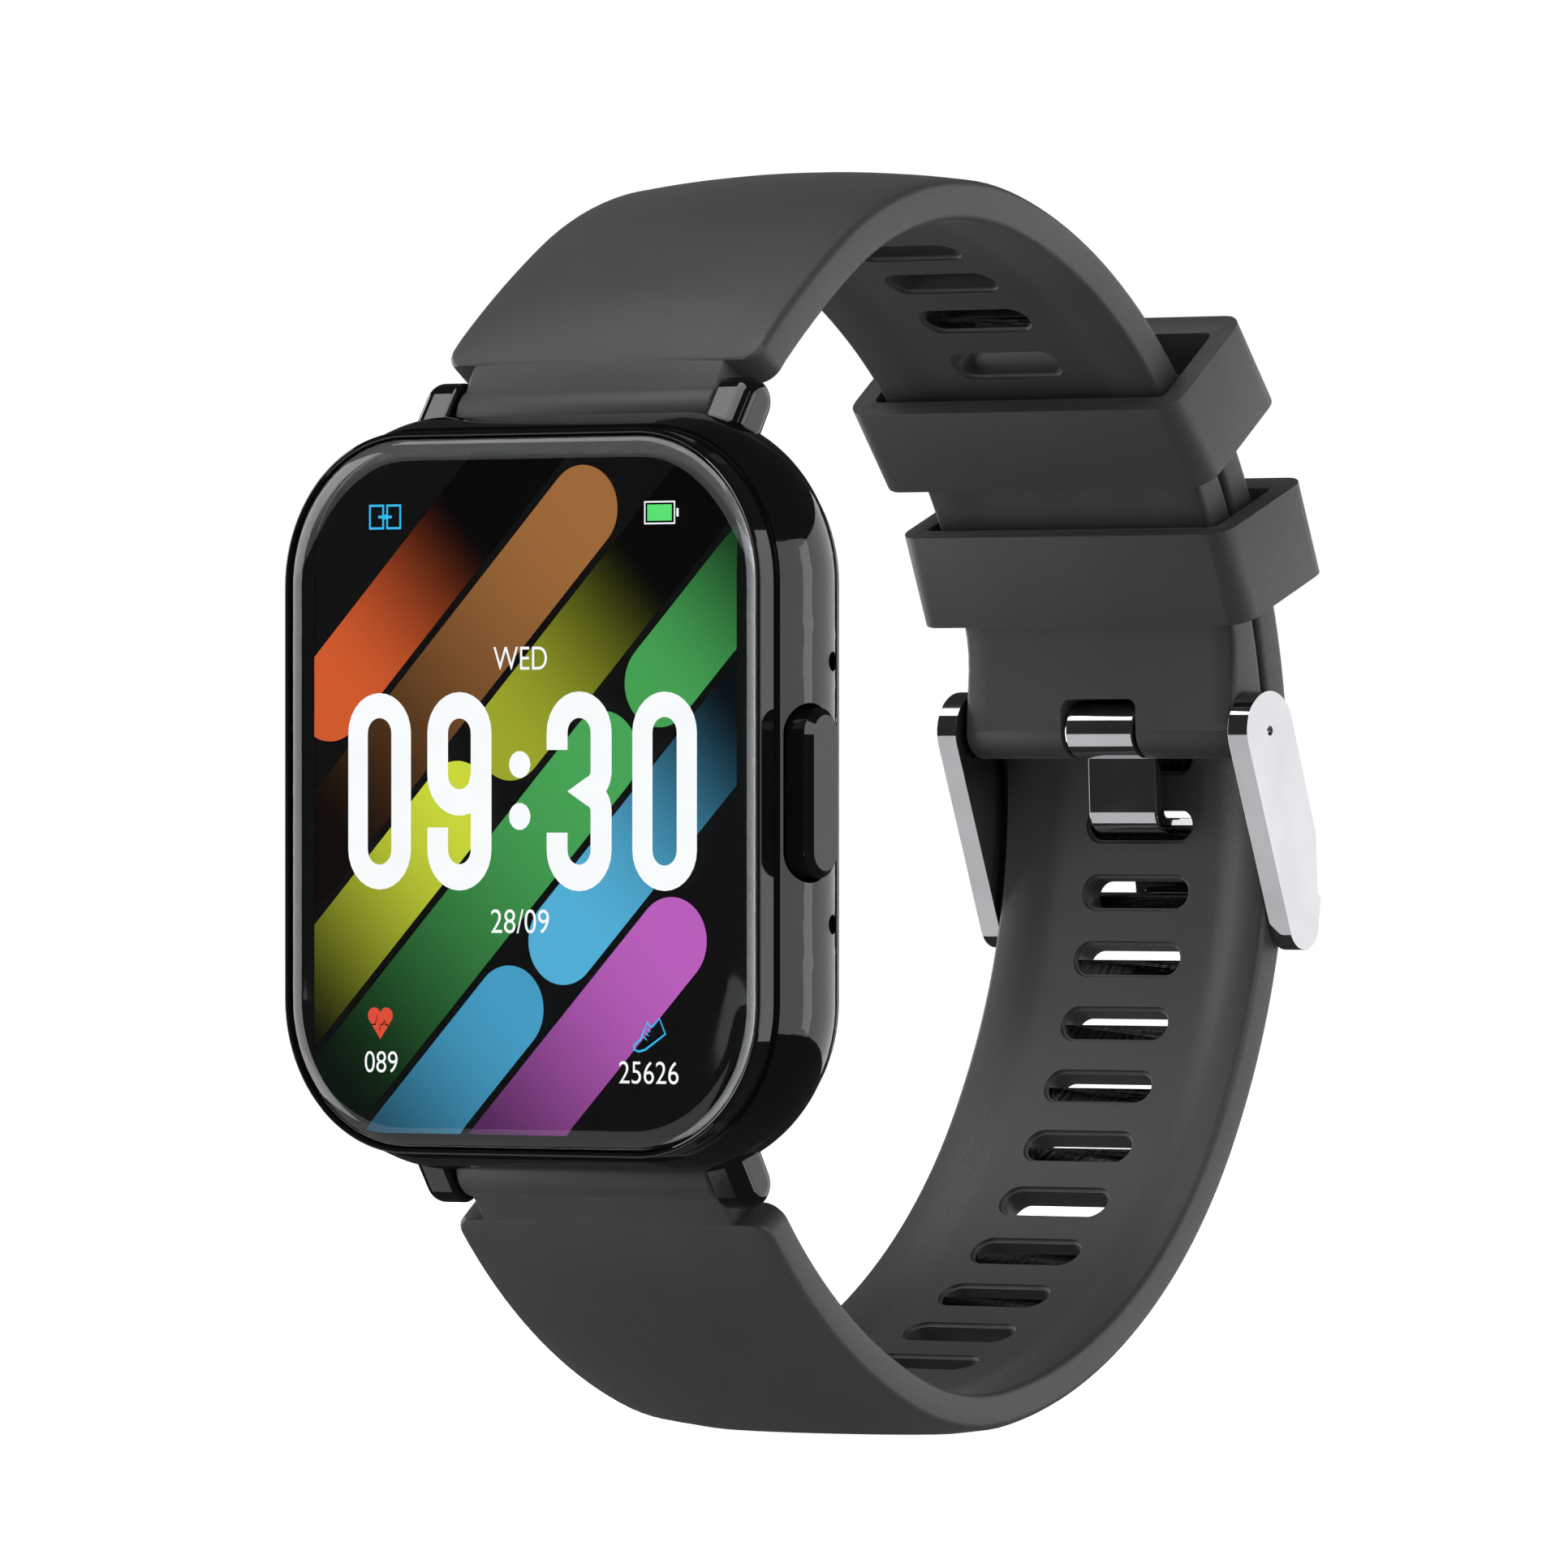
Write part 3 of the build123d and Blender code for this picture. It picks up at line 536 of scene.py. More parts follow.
    @staticmethod
    def tidy(piece: Piece, angle: float = 32.0, merge_mm: float = 0.0005) -> None:
        """Merge doubles, face every side outwards and smooth all but the sharp edges."""
        Bench.take(piece)
        bpy.ops.object.mode_set(mode="EDIT")
        bpy.ops.mesh.select_all(action="SELECT")
        bpy.ops.mesh.remove_doubles(threshold=merge_mm * MM)
        bpy.ops.mesh.normals_make_consistent(inside=False)
        bpy.ops.object.mode_set(mode="OBJECT")
        bpy.ops.object.shade_smooth_by_angle(angle=math.radians(angle))

    @staticmethod
    def soften(
        piece: Piece, width: float, segments: int = 2, angle: float = 40.0
    ) -> None:
        """Round every sharp edge a little with a bevel that is applied."""
        Bench.take(piece)
        step = piece.modifiers.new("soften", "BEVEL")
        step.width = width * MM
        step.segments = segments
        step.limit_method = "ANGLE"
        step.angle_limit = math.radians(angle)
        bpy.ops.object.modifier_apply(modifier=step.name)


def ease(value: float, start: float, end: float) -> float:
    """0 before start, 1 after end, and a smooth run between."""
    share = min(1.0, max(0.0, (value - start) / (end - start)))
    return share * share * (3 - 2 * share)


def hand_over(
    piece: Piece, body: str, finish: object, stands_for: Iterable[str] = ()
) -> None:
    """Dress a finished piece, attach it to the body that carries it and hide the CAD nodes it
    stands for.

    Args:
        piece: the object, with its place in its mesh.
        body: the CAD body that carries it.
        finish: its finish.
        stands_for: the CAD nodes that are hidden by it.
    """
    dress(piece, finish)
    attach(piece, body)
    for node in stands_for:
        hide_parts(node)
    LOG.info("%s: %d faces on %s", piece.name, len(piece.data.polygons), body)


# ------------------------------------------------------------------ strap
@dataclass(frozen=True)
class Arc:
    """One bend of a strap's centre line, in the YZ plane."""

    y: float
    z: float
    radius: float
    start: float  # degrees
    sweep: float  # degrees, signed

    @property
    def length(self) -> float:
        """Length along the bend, mm."""
        return self.radius * math.radians(abs(self.sweep))


TOUCH = 0.0001  # just inside an end, mm
CORNER_SHARES = (0.0, 0.04, 0.15, 0.32, 0.55, 0.8, 1.0)  # stations round a corner
ACROSS = (0.0, 1.6, 3.2, 4.8, 6.4, 7.3, 8.2, 9.1, 10.2)  # points of a section from its middle, mm
QUARTER_STEPS = 4  # faces round a quarter of the section's edge


@dataclass
class StrapHalf:
    """One moulded half of the strap: a section spun from bend to bend, then pierced."""

    name: str
    body: str
    bends: tuple[tuple[float, float], ...]  # radius, sweep
    start: float
    side: int  # 1 turns towards 12 o'clock, -1 towards 6 o'clock
    thickness: float
    slots: list[float]  # distances along the centre line
    bar_z: float
    rounded_start: float = 0.0  # corner radius of the free end
    pin_window: bool = False
    loop_y: float = 14.8
    bar_y: float = -1.6
    front_width: float = 24.6
    rear_width: float = 20.7
    taper: Point = (-6.6, 60.0)  # y where the two widths are met
    neck_width: float = 19.6
    neck_step: float = 0.02
    station_mm: float = 1.1
    closest_mm: float = 0.015  # stations nearer than this are one
    ear_z: float = 25.5
    ear_radius: float = 1.2
    edge_radius: float = 0.45
    trough_depth: float = 0.34
    slot_length: float = 8.0
    slot_width: float = 1.95
    flare: float = 0.22
    bar_end_radius: float = 1.8
    pin_end_radius: float = 1.75
    bore_radius: float = 0.8
    rim_radius: float = 0.3
    smooth_angle: float = 34.0
    merge_mm: float = 0.002
    core: float = 0.1  # half of the layer that belongs to neither face
    crown: float = 0.75
    crown_rise: Point = (0.0, 8.0)  # distances from the case end
    crown_fall: Point = (40.0, 58.0)
    trough_start: Point = (2.0, 8.0)  # distances from the other end
    trough_fall: Point = (12.0, 24.0)  # distances from the case end
    trough_edge: Point = (6.6, 8.6)  # distances from the middle line
    swell: float = 0.0  # how far the inner face comes out to the pin's barrel
    swell_length: float = 6.6
    window: Point = (5.9, 2.06)  # width, and height above the pin's axis
    window_below: float = 5.0  # how far its cutter reaches down from there
    window_corner: float = 0.7
    pin_in_loop: Point = (37.7, 6.0)  # radius and angle
    cut_depth: float = 9.0
    rim_cut_depth: float = 1.0
    arcs: list[Arc] = field(default_factory=list)

    def __post_init__(self) -> None:
        """Work out the centre of every bend."""
        y, z, angle, radius = self.loop_y, 0.0, self.start, self.bends[0][0]
        for next_radius, sweep in self.bends:
            step = radius - next_radius
            y += step * math.cos(math.radians(angle))
            z += step * math.sin(math.radians(angle))
            radius = next_radius
            self.arcs.append(Arc(y, z, radius, angle, self.side * sweep))
            angle += self.side * sweep

    @property
    def length(self) -> float:
        """Length of the whole centre line, mm."""
        return sum(arc.length for arc in self.arcs)

    @property
    def pin(self) -> Point:
        """The buckle pin's axis, (y, z)."""
        radius, angle = self.pin_in_loop
        turn = math.radians(angle)
        return self.loop_y + radius * math.cos(turn), radius * math.sin(turn)

    def spot(self, distance: float) -> tuple[float, float, float]:
        """Point (y, z) and angle of the outward normal at a distance along the strap."""
        for arc in self.arcs:
            if distance <= arc.length + 1e-9:
                at = math.radians(arc.start) + math.copysign(distance / arc.radius, arc.sweep)
                return arc.y + arc.radius * math.cos(at), arc.z + arc.radius * math.sin(at), at
            distance -= arc.length
        raise ValueError("past the strap's end")

    def half_width(self, distance: float) -> float:
        """Half of the strap's width: tapered, rounded at the tail, stepped in at the neck."""
        y, z, _ = self.spot(distance)
        share = (y - self.taper[0]) / (self.taper[1] - self.taper[0])
        wide = self.front_width / 2 + (self.rear_width - self.front_width) / 2 * share
        if distance < self.rounded_start:
            corner = self.rounded_start
            return wide - corner + math.sqrt(corner**2 - (corner - distance) ** 2)
        past = self.neck_start - distance
        if past <= 0:
            return self.neck_width / 2
        if past < self.ear_radius:
            corner = self.ear_radius
            return wide - corner + math.sqrt(corner**2 - (corner - past) ** 2)
        return wide

    @property
    def neck_start(self) -> float:
        """Distance at which the strap narrows to pass between the lugs."""
        low, high = self.length / 2, self.length
        for _ in range(40):
            middle = (low + high) / 2
            if abs(self.spot(middle)[1]) > self.ear_z:
                low = middle
            else:
                high = middle
        return low

    def stations(self) -> list[float]:
        """Distances at which the section is placed: even steps, closer at the rounded ends."""
        marks = {0.0, self.length}
        run = 0.0
        for arc in self.arcs:
            count = math.ceil(arc.length / self.station_mm)
            marks.update(run + arc.length * i / count for i in range(1, count + 1))
            run += arc.length
        neck = self.neck_start
        for share in CORNER_SHARES:
            marks.add(neck - self.ear_radius * share)
            marks.add(self.rounded_start * share)
        marks.add(neck + self.neck_step)
        ordered = sorted(marks)
        kept = [ordered[0]]
        for mark in ordered[1:]:
            if mark - kept[-1] > self.closest_mm:
                kept.append(mark)
        return kept

    def section(self) -> list[Point]:
        """The half-outline (x, normal) of the section for a half width of front_width / 2."""
        wide, half, r = self.front_width / 2, self.thickness / 2, self.edge_radius
        outer = [(x, half) for x in ACROSS]
        inner = [(x, -half) for x in reversed(ACROSS)]
        rim = []
        for centre, start in ((half - r, 90), (r - half, 0)):
            for step in range(QUARTER_STEPS + 1):
                turn = math.radians(start - 90 / QUARTER_STEPS * step)
                rim.append((wide - r + r * math.cos(turn), centre + r * math.sin(turn)))
        return outer + rim + inner

    def spun(self) -> Piece:
        """Spin the section along the centre line."""
        half = self.section()
        ring = half + [(-x, n) for x, n in reversed(half[1:-1])]
        Bench.clear()
        bpy.ops.mesh.primitive_circle_add(vertices=len(ring), radius=0.01)
        piece = Bench.settle(self.name)
        y, z, at = self.spot(0.0)
        width = self.half_width(TOUCH)
        scale = width * 2 / self.front_width
        for vertex, (x, n) in zip(piece.data.vertices, ring):
            vertex.co = (x * scale * MM, (y + n * math.cos(at)) * MM, (z + n * math.sin(at)) * MM)
        Bench.take(piece)
        bpy.ops.object.mode_set(mode="EDIT")
        bpy.ops.mesh.select_all(action="SELECT")
        marks = self.stations()
        for before, after in zip(marks, marks[1:]):
            arc, run = self.arcs[0], 0.0
            for arc in self.arcs:
                if (before + after) / 2 <= run + arc.length:
                    break
                run += arc.length
            # the operator turns the other way, so the sign is changed
            turn = -math.copysign((after - before) / arc.radius, arc.sweep)
            centre = (0, arc.y * MM, arc.z * MM)
            bpy.ops.mesh.spin(steps=1, angle=turn, center=centre, axis=(1, 0, 0))
            wanted = self.half_width(after)
            bpy.ops.transform.resize(value=(wanted / width, 1, 1), center_override=(0, 0, 0))
            width = wanted
        bpy.ops.mesh.select_all(action="SELECT")
        bpy.ops.mesh.fill_holes(sides=0)
        bpy.ops.object.mode_set(mode="OBJECT")
        self.dish(piece)
        Bench.tidy(piece)
        return piece

    def dish(self, piece: Piece) -> None:
        """Crown the outer face, and press the trough and the swell into the inner one."""
        spots = [(mark, *self.spot(mark)) for mark in self.stations()]
        for vertex in piece.data.vertices:
            x, y, z = vertex.co / MM
            mark, mid_y, mid_z, at = min(
                spots, key=lambda spot: (y - spot[1]) ** 2 + (z - spot[2]) ** 2
            )
            normal = Vector((0, math.cos(at), math.sin(at)))
            height = (y - mid_y) * normal.y + (z - mid_z) * normal.z
            left = self.length - mark
            if height > self.core:
                fade = ease(left, *self.crown_rise) * (1 - ease(left, *self.crown_fall))
                lift = self.crown * fade * (1 - (x / self.half_width(mark)) ** 2)
            elif height < -self.core:
                fade = ease(mark, *self.trough_start) * ease(left, *self.trough_fall)
                lift = self.trough_depth * fade * (1 - ease(abs(x), *self.trough_edge))
                lift -= self.swell * (1 - ease(mark, 0, self.swell_length))
            else:
                continue
            vertex.co += normal * max(lift, -self.swell) * MM

    def slot_tool(
        self, name: str, length: float, width: float, depth: float, chamfer: float
    ) -> Piece:
        """A cutter with round ends; with a chamfer, its lower rim is bevelled."""
        size = (length, width, depth)
        tool = Bench.slab(name, size, ORIGIN, width / 2 - 0.005, 8, axis=2)
        if chamfer:
            Bench.pick(tool, "FACE", lambda centre, normal: normal.z < -0.9)
            bpy.ops.mesh.select_mode(type="EDGE")
            bpy.ops.mesh.region_to_loop()
            bpy.ops.mesh.bevel(offset=chamfer * MM, segments=3, affect="EDGES")
            bpy.ops.object.mode_set(mode="OBJECT")
        return tool

    def pierce(self, piece: Piece) -> None:
        """Cut the adjustment slots and soften their rims on both faces."""
        length, width, flare = self.slot_length, self.slot_width, self.flare
        plain = self.slot_tool("slot_tool", length, width, self.cut_depth, 0.0)
        wide, high = length + 2 * flare, width + 2 * flare
        rim = self.slot_tool("rim_tool", wide, high, self.rim_cut_depth, flare * 0.9)
        across = Vector((-1, 0, 0))
        lift = self.thickness / 2 - flare + self.rim_cut_depth / 2
        for distance in self.slots:
            y, z, at = self.spot(distance)
            normal = Vector((0, math.cos(at), math.sin(at)))
            along = Vector((0, -math.sin(at), math.cos(at)))
            outside = self.placed(across, along, normal, (y, z), lift)
            inside = self.placed(across, -along, -normal, (y, z), lift - self.trough_depth)
            through = self.placed(across, along, normal, (y, z), 0)
            for tool, place in ((plain, through), (rim, outside), (rim, inside)):
                Bench.combine(piece, Bench.copy(tool, "slot_cutter", place), "DIFFERENCE")
        bpy.data.objects.remove(plain)
        bpy.data.objects.remove(rim)

    @staticmethod
    def placed(across: Vector, along: Vector, normal: Vector, at: Point, lift: float) -> Matrix:
        """The matrix that puts a tool on the strap, its Z along the normal, unmirrored."""
        place = Matrix((across, along, normal)).transposed().to_4x4()
        centre = Vector((0, at[0], at[1])) * MM + normal * lift * MM
        return Matrix.Translation(centre) @ place

    def build(self) -> Piece:
        """Make the half strap and hand it over."""
        piece = self.spun()
        barrels = [("bar", (self.bar_y, self.bar_z), self.bar_end_radius, self.neck_width)]
        if self.pin_window:
            barrels.append(("pin", self.pin, self.pin_end_radius, 2 * self.half_width(1.0)))
        for label, axis, radius, width in barrels:
            barrel = Bench.rod(f"{label}_end", radius, width, (0, *axis))
            Bench.soften(barrel, self.rim_radius, 3)
            Bench.combine(piece, barrel, "UNION")
            bore = Bench.rod(f"{label}_bore", self.bore_radius, THROUGH, (0, *axis))
            Bench.combine(piece, bore, "DIFFERENCE")
        if self.pin_window:
            self.open_window(piece)
        self.pierce(piece)
        Bench.tidy(piece, self.smooth_angle, self.merge_mm)
        node = self.name.replace("_moulded", "")
        hand_over(piece, self.body, Stock.STRAP_SILICONE, [node])
        return piece

    def open_window(self, piece: Piece) -> None:
        """Cut the opening in which the tongue turns on its pin."""
        width, height = self.window
        y, z = self.pin
        top = z + height
        size = (width, self.cut_depth, height + self.window_below)
        tool = Bench.box("window_tool", size, (0, y, top - size[2] / 2))

        def upper(a: Vector, b: Vector) -> bool:
            return min(a.z, b.z) > top - 0.01 and abs(a.y - b.y) > self.cut_depth / 2

        Bench.round_edges(tool, self.window_corner, 5, upper)
        Bench.combine(piece, tool, "DIFFERENCE")


@dataclass
class KeeperLoop:
    """A free loop of strap rubber that holds the tail down."""

    name: str
    node: str
    body: str
    angle: float
    inner_radius: float = 35.3
    depth: float = 9.9
    width: float = 25.8
    length: float = 6.2
    wall: float = 1.5
    inner_wall: float = 1.3
    outer_wall: float = 1.8
    loop_y: float = 14.8
    outer_corner: float = 1.5
    hole_corner: float = 0.5
    rim_radius: float = 0.3

    def build(self) -> Piece:
        """Make the loop flat, then turn it to its place on the strap."""
        size = (self.width, self.depth, self.length)
        piece = Bench.slab(self.name, size, ORIGIN, self.outer_corner, 6, axis=2)
        hole = self.depth - self.inner_wall - self.outer_wall
        shift = (self.inner_wall - self.outer_wall) / 2
        size = (self.width - 2 * self.wall, hole, THROUGH)
        tool = Bench.slab("keeper_tool", size, (0, shift, 0), self.hole_corner, 4, axis=2)
        Bench.combine(piece, tool, "DIFFERENCE")
        Bench.soften(piece, self.rim_radius, 3, 50)
        turn = math.radians(self.angle)
        middle = self.inner_radius + self.depth / 2
        centre = Vector((0, self.loop_y + middle * math.cos(turn), middle * math.sin(turn))) * MM
        piece.data.transform(Matrix.Translation(centre) @ Matrix.Rotation(turn, 4, "X"))
        Bench.tidy(piece, 35.0)
        hand_over(piece, self.body, Stock.STRAP_SILICONE, [self.node])
        return piece


# ------------------------------------------------------------------ case front
@dataclass
class CoverGlassPiece:
    """The front glass, with its curved rim, and the black print behind it."""

    width: float = 35.8
    height: float = 43.2
    corner: float = 9.0
    front_y: float = -9.7
    back_y: float = -8.68
    rim_width: float = 1.5
    rim_depth: float = 0.62
    rim_steps: int = 9
    window: Triple = (32.4, 41.3, 5.6)  # width, height, corner radius
    print_y: float = -8.655
    print_thickness: float = 0.012
    print_margin: float = 0.15

    def build(self) -> None:
        """Make the glass and its print."""
        thick = self.back_y - self.front_y - self.rim_depth
        flat_front = self.front_y + self.rim_depth
        size, centre = (self.width, thick, self.height), (0, flat_front + thick / 2, 0)
        piece = Bench.slab("front_glass_curved", size, centre, self.corner, 24)
        Bench.pick(piece, "FACE", lambda centre, normal: normal.y < -0.9)
        before = (0.0, 0.0)
        for step in range(1, self.rim_steps + 1):
            turn = math.pi / 2 * step / self.rim_steps
            now = (self.rim_width * (1 - math.cos(turn)), self.rim_depth * math.sin(turn))
            bpy.ops.mesh.inset(thickness=(now[0] - before[0]) * MM, depth=(now[1] - before[1]) * MM)
            before = now
        bpy.ops.object.mode_set(mode="OBJECT")
        Bench.tidy(piece, 60.0)
        hand_over(piece, "case", Stock.GLASS, ["front_glass"])
        margin, thin, centre = self.print_margin, self.print_thickness, (0, self.print_y, 0)
        size = (self.width - 2 * margin, thin, self.height - 2 * margin)
        border = Bench.slab("front_glass_print", size, centre, self.corner - margin, 20)
        wide, high, radius = self.window
        hole = Bench.slab("window_hole", (wide, 2, high), centre, radius, 14)
        Bench.combine(border, hole, "DIFFERENCE")
        Bench.tidy(border)
        hand_over(border, "case", Stock.INK)


# ------------------------------------------------------------------ display
class Glyph(Enum):
    """The figures that the clock shows, as strokes on a 1.665 x 4.49 half frame, in mm."""

    ZERO = "0"
    THREE = "3"
    NINE = "9"


@dataclass
class LightBar:
    """One round-ended colour bar of the display's picture, on a 45 degree lane."""

    lane: float  # z - x of its middle line, mm
    near: float  # (x + z) / 2 of its first end's centre
    far: float
    near_colour: str
    far_colour: str
    fade: tuple[float, float]


@dataclass
class WatchFace:
    """The lit picture on the display."""

    y: float = -8.615
    layer: float = 0.011
    sheet: float = 0.006  # thickness of the lit pieces
    type_layer: int = 3  # how many layers in front of the bars the figures are
    type_thinning: float = -0.004
    bar_radius: float = 2.65
    half_window: Point = (16.25, 20.75)
    window_corner: float = 5.2
    stroke: float = 1.6
    digit_half: float = 1.68
    digit_straight: float = 3.55

    def bars(self) -> list[LightBar]:
        """The nine colour bars."""
        return [
            LightBar(20.8, -4.6, 16.0, "#e0602f", "#000000", (-4.0, 6.0)),
            LightBar(12.6, 10.85, -30.0, "#a96f3c", "#0c0503", (11.0, -9.0)),
            LightBar(4.4, 1.2, 26.0, "#a8b02c", "#000000", (0.5, 11.5)),
            LightBar(4.4, -2.9, -30.0, "#dbe63e", "#0b0c02", (-2.0, -16.0)),
            LightBar(-3.8, 4.2, -30.0, "#4cae5a", "#06130a", (4.0, -16.5)),
            LightBar(-3.8, 8.5, 30.0, "#4aaa58", "#07220d", (8.0, 17.5)),
            LightBar(-12.0, -2.95, 30.0, "#58b9e2", "#040c14", (-2.0, 11.0)),
            LightBar(-12.0, -7.1, -30.0, "#4aa5cd", "#16303f", (-6.5, -19.0)),
            LightBar(-20.2, 1.2, -30.0, "#c765c7", "#45204a", (1.5, -14.5)),
        ]

    def flat_bar(self, index: int, bar: LightBar) -> Piece:
        """A thin round-ended bar, cut off at the display's edge."""
        middle, half = (bar.near + bar.far) / 2, abs(bar.far - bar.near) / math.sqrt(2)
        size = (2 * half + 2 * self.bar_radius, self.sheet, 2 * self.bar_radius)
        radius = self.bar_radius - 0.001
        piece = Bench.slab(f"display_bar_{index}", size, ORIGIN, radius, 20)
        centre = Vector((middle - bar.lane / 2, self.y, middle + bar.lane / 2)) * MM
        piece.data.transform(Matrix.Translation(centre) @ Matrix.Rotation(-math.pi / 4, 4, "Y"))
        wide, high = self.half_window
        size = (2 * wide, 2, 2 * high)
        window = Bench.slab("display_window", size, (0, self.y, 0), self.window_corner, 12)
        Bench.combine(piece, window, "INTERSECT")
        return piece

    def line(
        self, name: str, points: Sequence[Point], width: float, closed: bool, layer: int
    ) -> Piece:
        """A drawn line of a width: a bevelled curve, pressed flat and made a mesh.

        Args:
            name: the piece's name.
            points: (x, z) along the line, in mm.
            width: of the line, in mm.
            closed: joins the last point to the first.
            layer: how many layers in front of the bars.

        Returns:
            The line as a mesh.
        """
        curve = bpy.data.curves.new(name, "CURVE")
        curve.dimensions = "3D"
        curve.bevel_depth = width / 2 * MM
        curve.bevel_resolution = 3
        curve.use_fill_caps = True
        spline = curve.splines.new("POLY")
        spline.points.add(len(points) - 1)
        for point, (x, z) in zip(spline.points, points):
            point.co = (x * MM, 0, z * MM, 1)
        spline.use_cyclic_u = closed
        piece = bpy.data.objects.new(name, curve)
        bpy.context.scene.collection.objects.link(piece)
        Bench.take(piece)
        bpy.ops.object.convert(target="MESH")
        piece = bpy.context.object
        flat = Matrix.Diagonal((1, self.sheet / width, 1, 1))
        piece.data.transform(Matrix.Translation((0, (self.y - layer * self.layer) * MM, 0)) @ flat)
        return piece

    def patch(self, name: str, outline: Sequence[Point], layer: int) -> Piece:
        """A filled flat shape, given its outline."""
        Bench.clear()
        bpy.ops.mesh.primitive_circle_add(vertices=len(outline), radius=MM, fill_type="NGON")
        piece = Bench.settle(name)
        y = self.y - layer * self.layer
        for vertex, (x, z) in zip(piece.data.vertices, outline):
            vertex.co = (x * MM, y * MM, z * MM)
        return piece

    @staticmethod
    def arc(centre: Point, radius: float, start: float, end: float, steps: int = 14) -> list[Point]:
        """Points on an arc, angles in degrees."""
        turns = [math.radians(start + (end - start) * i / steps) for i in range(steps + 1)]
        return [(centre[0] + radius * math.cos(t), centre[1] + radius * math.sin(t)) for t in turns]

    def figure(self, glyph: Glyph) -> tuple[list[Point], bool]:
        """The stroke of one figure, and whether it closes on itself."""
        a, top = self.digit_half, self.digit_straight
        over = self.arc((0, top), a, 180, 0)
        under = self.arc((0, -top), a, 0, -180)
        if glyph is Glyph.ZERO:
            return over + under, True
        if glyph is Glyph.NINE:
            hook = [(-a, -2.2), *reversed(under)]
            bowl = self.arc((0, top), a, 0, 180) + self.arc((0, 1.0), a, 180, 330)
            return hook + bowl + [(a, 1.0)], False
        upper = [(-a, 2.5)] + over + [(a, 1.75)] + self.arc((a - 1.15, 1.2), 1.15, 0, -80, 8)
        lower = self.arc((a - 1.15, -1.2), 1.15, 80, 0, 8) + [(a, -1.75)] + under + [(-a, -2.5)]
        return upper + [(-0.1, 0.0)] + lower, False

    def clock(self) -> Piece:
        """The time: four figures and a colon."""
        parts = []
        spots = ((Glyph.ZERO, -11.1), (Glyph.NINE, -4.9), (Glyph.THREE, 4.3), (Glyph.ZERO, 10.8))
        for index, (glyph, x) in enumerate(spots):
            points, closed = self.figure(glyph)
            moved = [(px + x, pz + 0.1) for px, pz in points]
            parts.append(self.line(f"figure_{index}", moved, self.stroke, closed, self.type_layer))
        for index, z in enumerate((1.72, -1.42)):
            ring = self.arc((-0.25, z), 0.42, 0, 360)[:-1]
            parts.append(self.line(f"colon_{index}", ring, 0.86, True, self.type_layer))
        return Bench.join(parts, "display_time")

    def words(
        self, name: str, text: str, box: tuple[float, float, float, float]
    ) -> Piece:
        """A short piece of type, stretched to a box (left, bottom, right, top) in mm."""
        Bench.clear()
        bpy.ops.object.text_add()
        piece = bpy.context.object
        piece.name = name
        piece.data.body = text
        piece.data.offset = self.type_thinning
        bpy.ops.object.convert(target="MESH")
        piece = bpy.context.object
        xs = [v.co.x for v in piece.data.vertices]
        ys = [v.co.y for v in piece.data.vertices]
        left, bottom, right, top = box
        scale_x = (right - left) * MM / (max(xs) - min(xs))
        scale_z = (top - bottom) * MM / (max(ys) - min(ys))
        for vertex in piece.data.vertices:
            x = left * MM + (vertex.co.x - min(xs)) * scale_x
            z = bottom * MM + (vertex.co.y - min(ys)) * scale_z
            vertex.co = (x, (self.y - self.type_layer * self.layer) * MM, z)
        return piece

    def icons(self) -> list[tuple[Piece, object]]:
        """The small signs in the corners, each with its colour."""
        blue = Lit("display_sky_blue", "#3cc8ff")
        white = Lit("display_white", "#ffffff", strength=1.15)
        green = Lit("display_battery_green", "#62f27a")
        red = Lit("display_heart_red", "#f2553c")
        black = Stock.INK
        link = []
        for left, right in ((-11.85, -10.82), (-10.51, -9.49)):
            square = [(left, 16.14), (right, 16.14), (right, 17.52), (left, 17.52)]
            link.append(self.line("link_square", square, 0.2, True, 3))
        link.append(self.line("link_bar", [(-11.2, 16.83), (-10.14, 16.83)], 0.18, False, 4))
        link.append(self.line("link_boss", [(-10.8, 16.83), (-10.54, 16.83)], 0.3, False, 4))
        cell = [(9.3, 16.2), (11.55, 16.2), (11.55, 17.5), (9.3, 17.5)]
        outline = self.line("battery_outline", cell, 0.14, True, 3)
        nub = self.line("battery_nub", [(11.78, 16.6), (11.78, 17.1)], 0.16, False, 3)
        charge = self.line("battery_charge", [(9.5, 16.85), (11.35, 16.85)], 1.02, False, 4)
        left_lobe = self.arc((-11.51, -13.58), 0.5, 205, 35, 10)
        right_lobe = self.arc((-10.57, -13.58), 0.5, 145, -25, 10)
        rim = [*left_lobe, (-11.05, -13.36), *right_lobe, (-11.04, -15.02)]
        heart = self.patch("display_heart", rim, 3)
        beat = [(-11.69, -14.12), (-11.41, -14.12), (-11.27, -13.53), (-11.08, -14.55)]
        beat += [(-10.97, -14.12), (-10.83, -14.12), (-10.7, -13.86), (-10.61, -14.14)]
        beat += [(-10.42, -14.16)]
        pulse = self.line("heart_pulse", beat, 0.1, False, 5)
        sole = [(10.41, -13.55), (10.86, -14.49), (9.34, -15.44), (8.85, -15.56)]
        upper = [(8.52, -15.45), (8.47, -15.2), (9.0, -14.81), (9.51, -13.77)]
        upper += [(9.68, -14.02), (9.9, -14.04)]
        shoe = self.line("shoe_outline", sole + upper, 0.14, True, 3)
        laces = []
        for x, z in ((9.23, -14.67), (9.38, -14.43), (9.5, -14.18)):
            laces.append(self.line("shoe_lace", [(x, z), (x + 0.22, z - 0.19)], 0.08, False, 3))
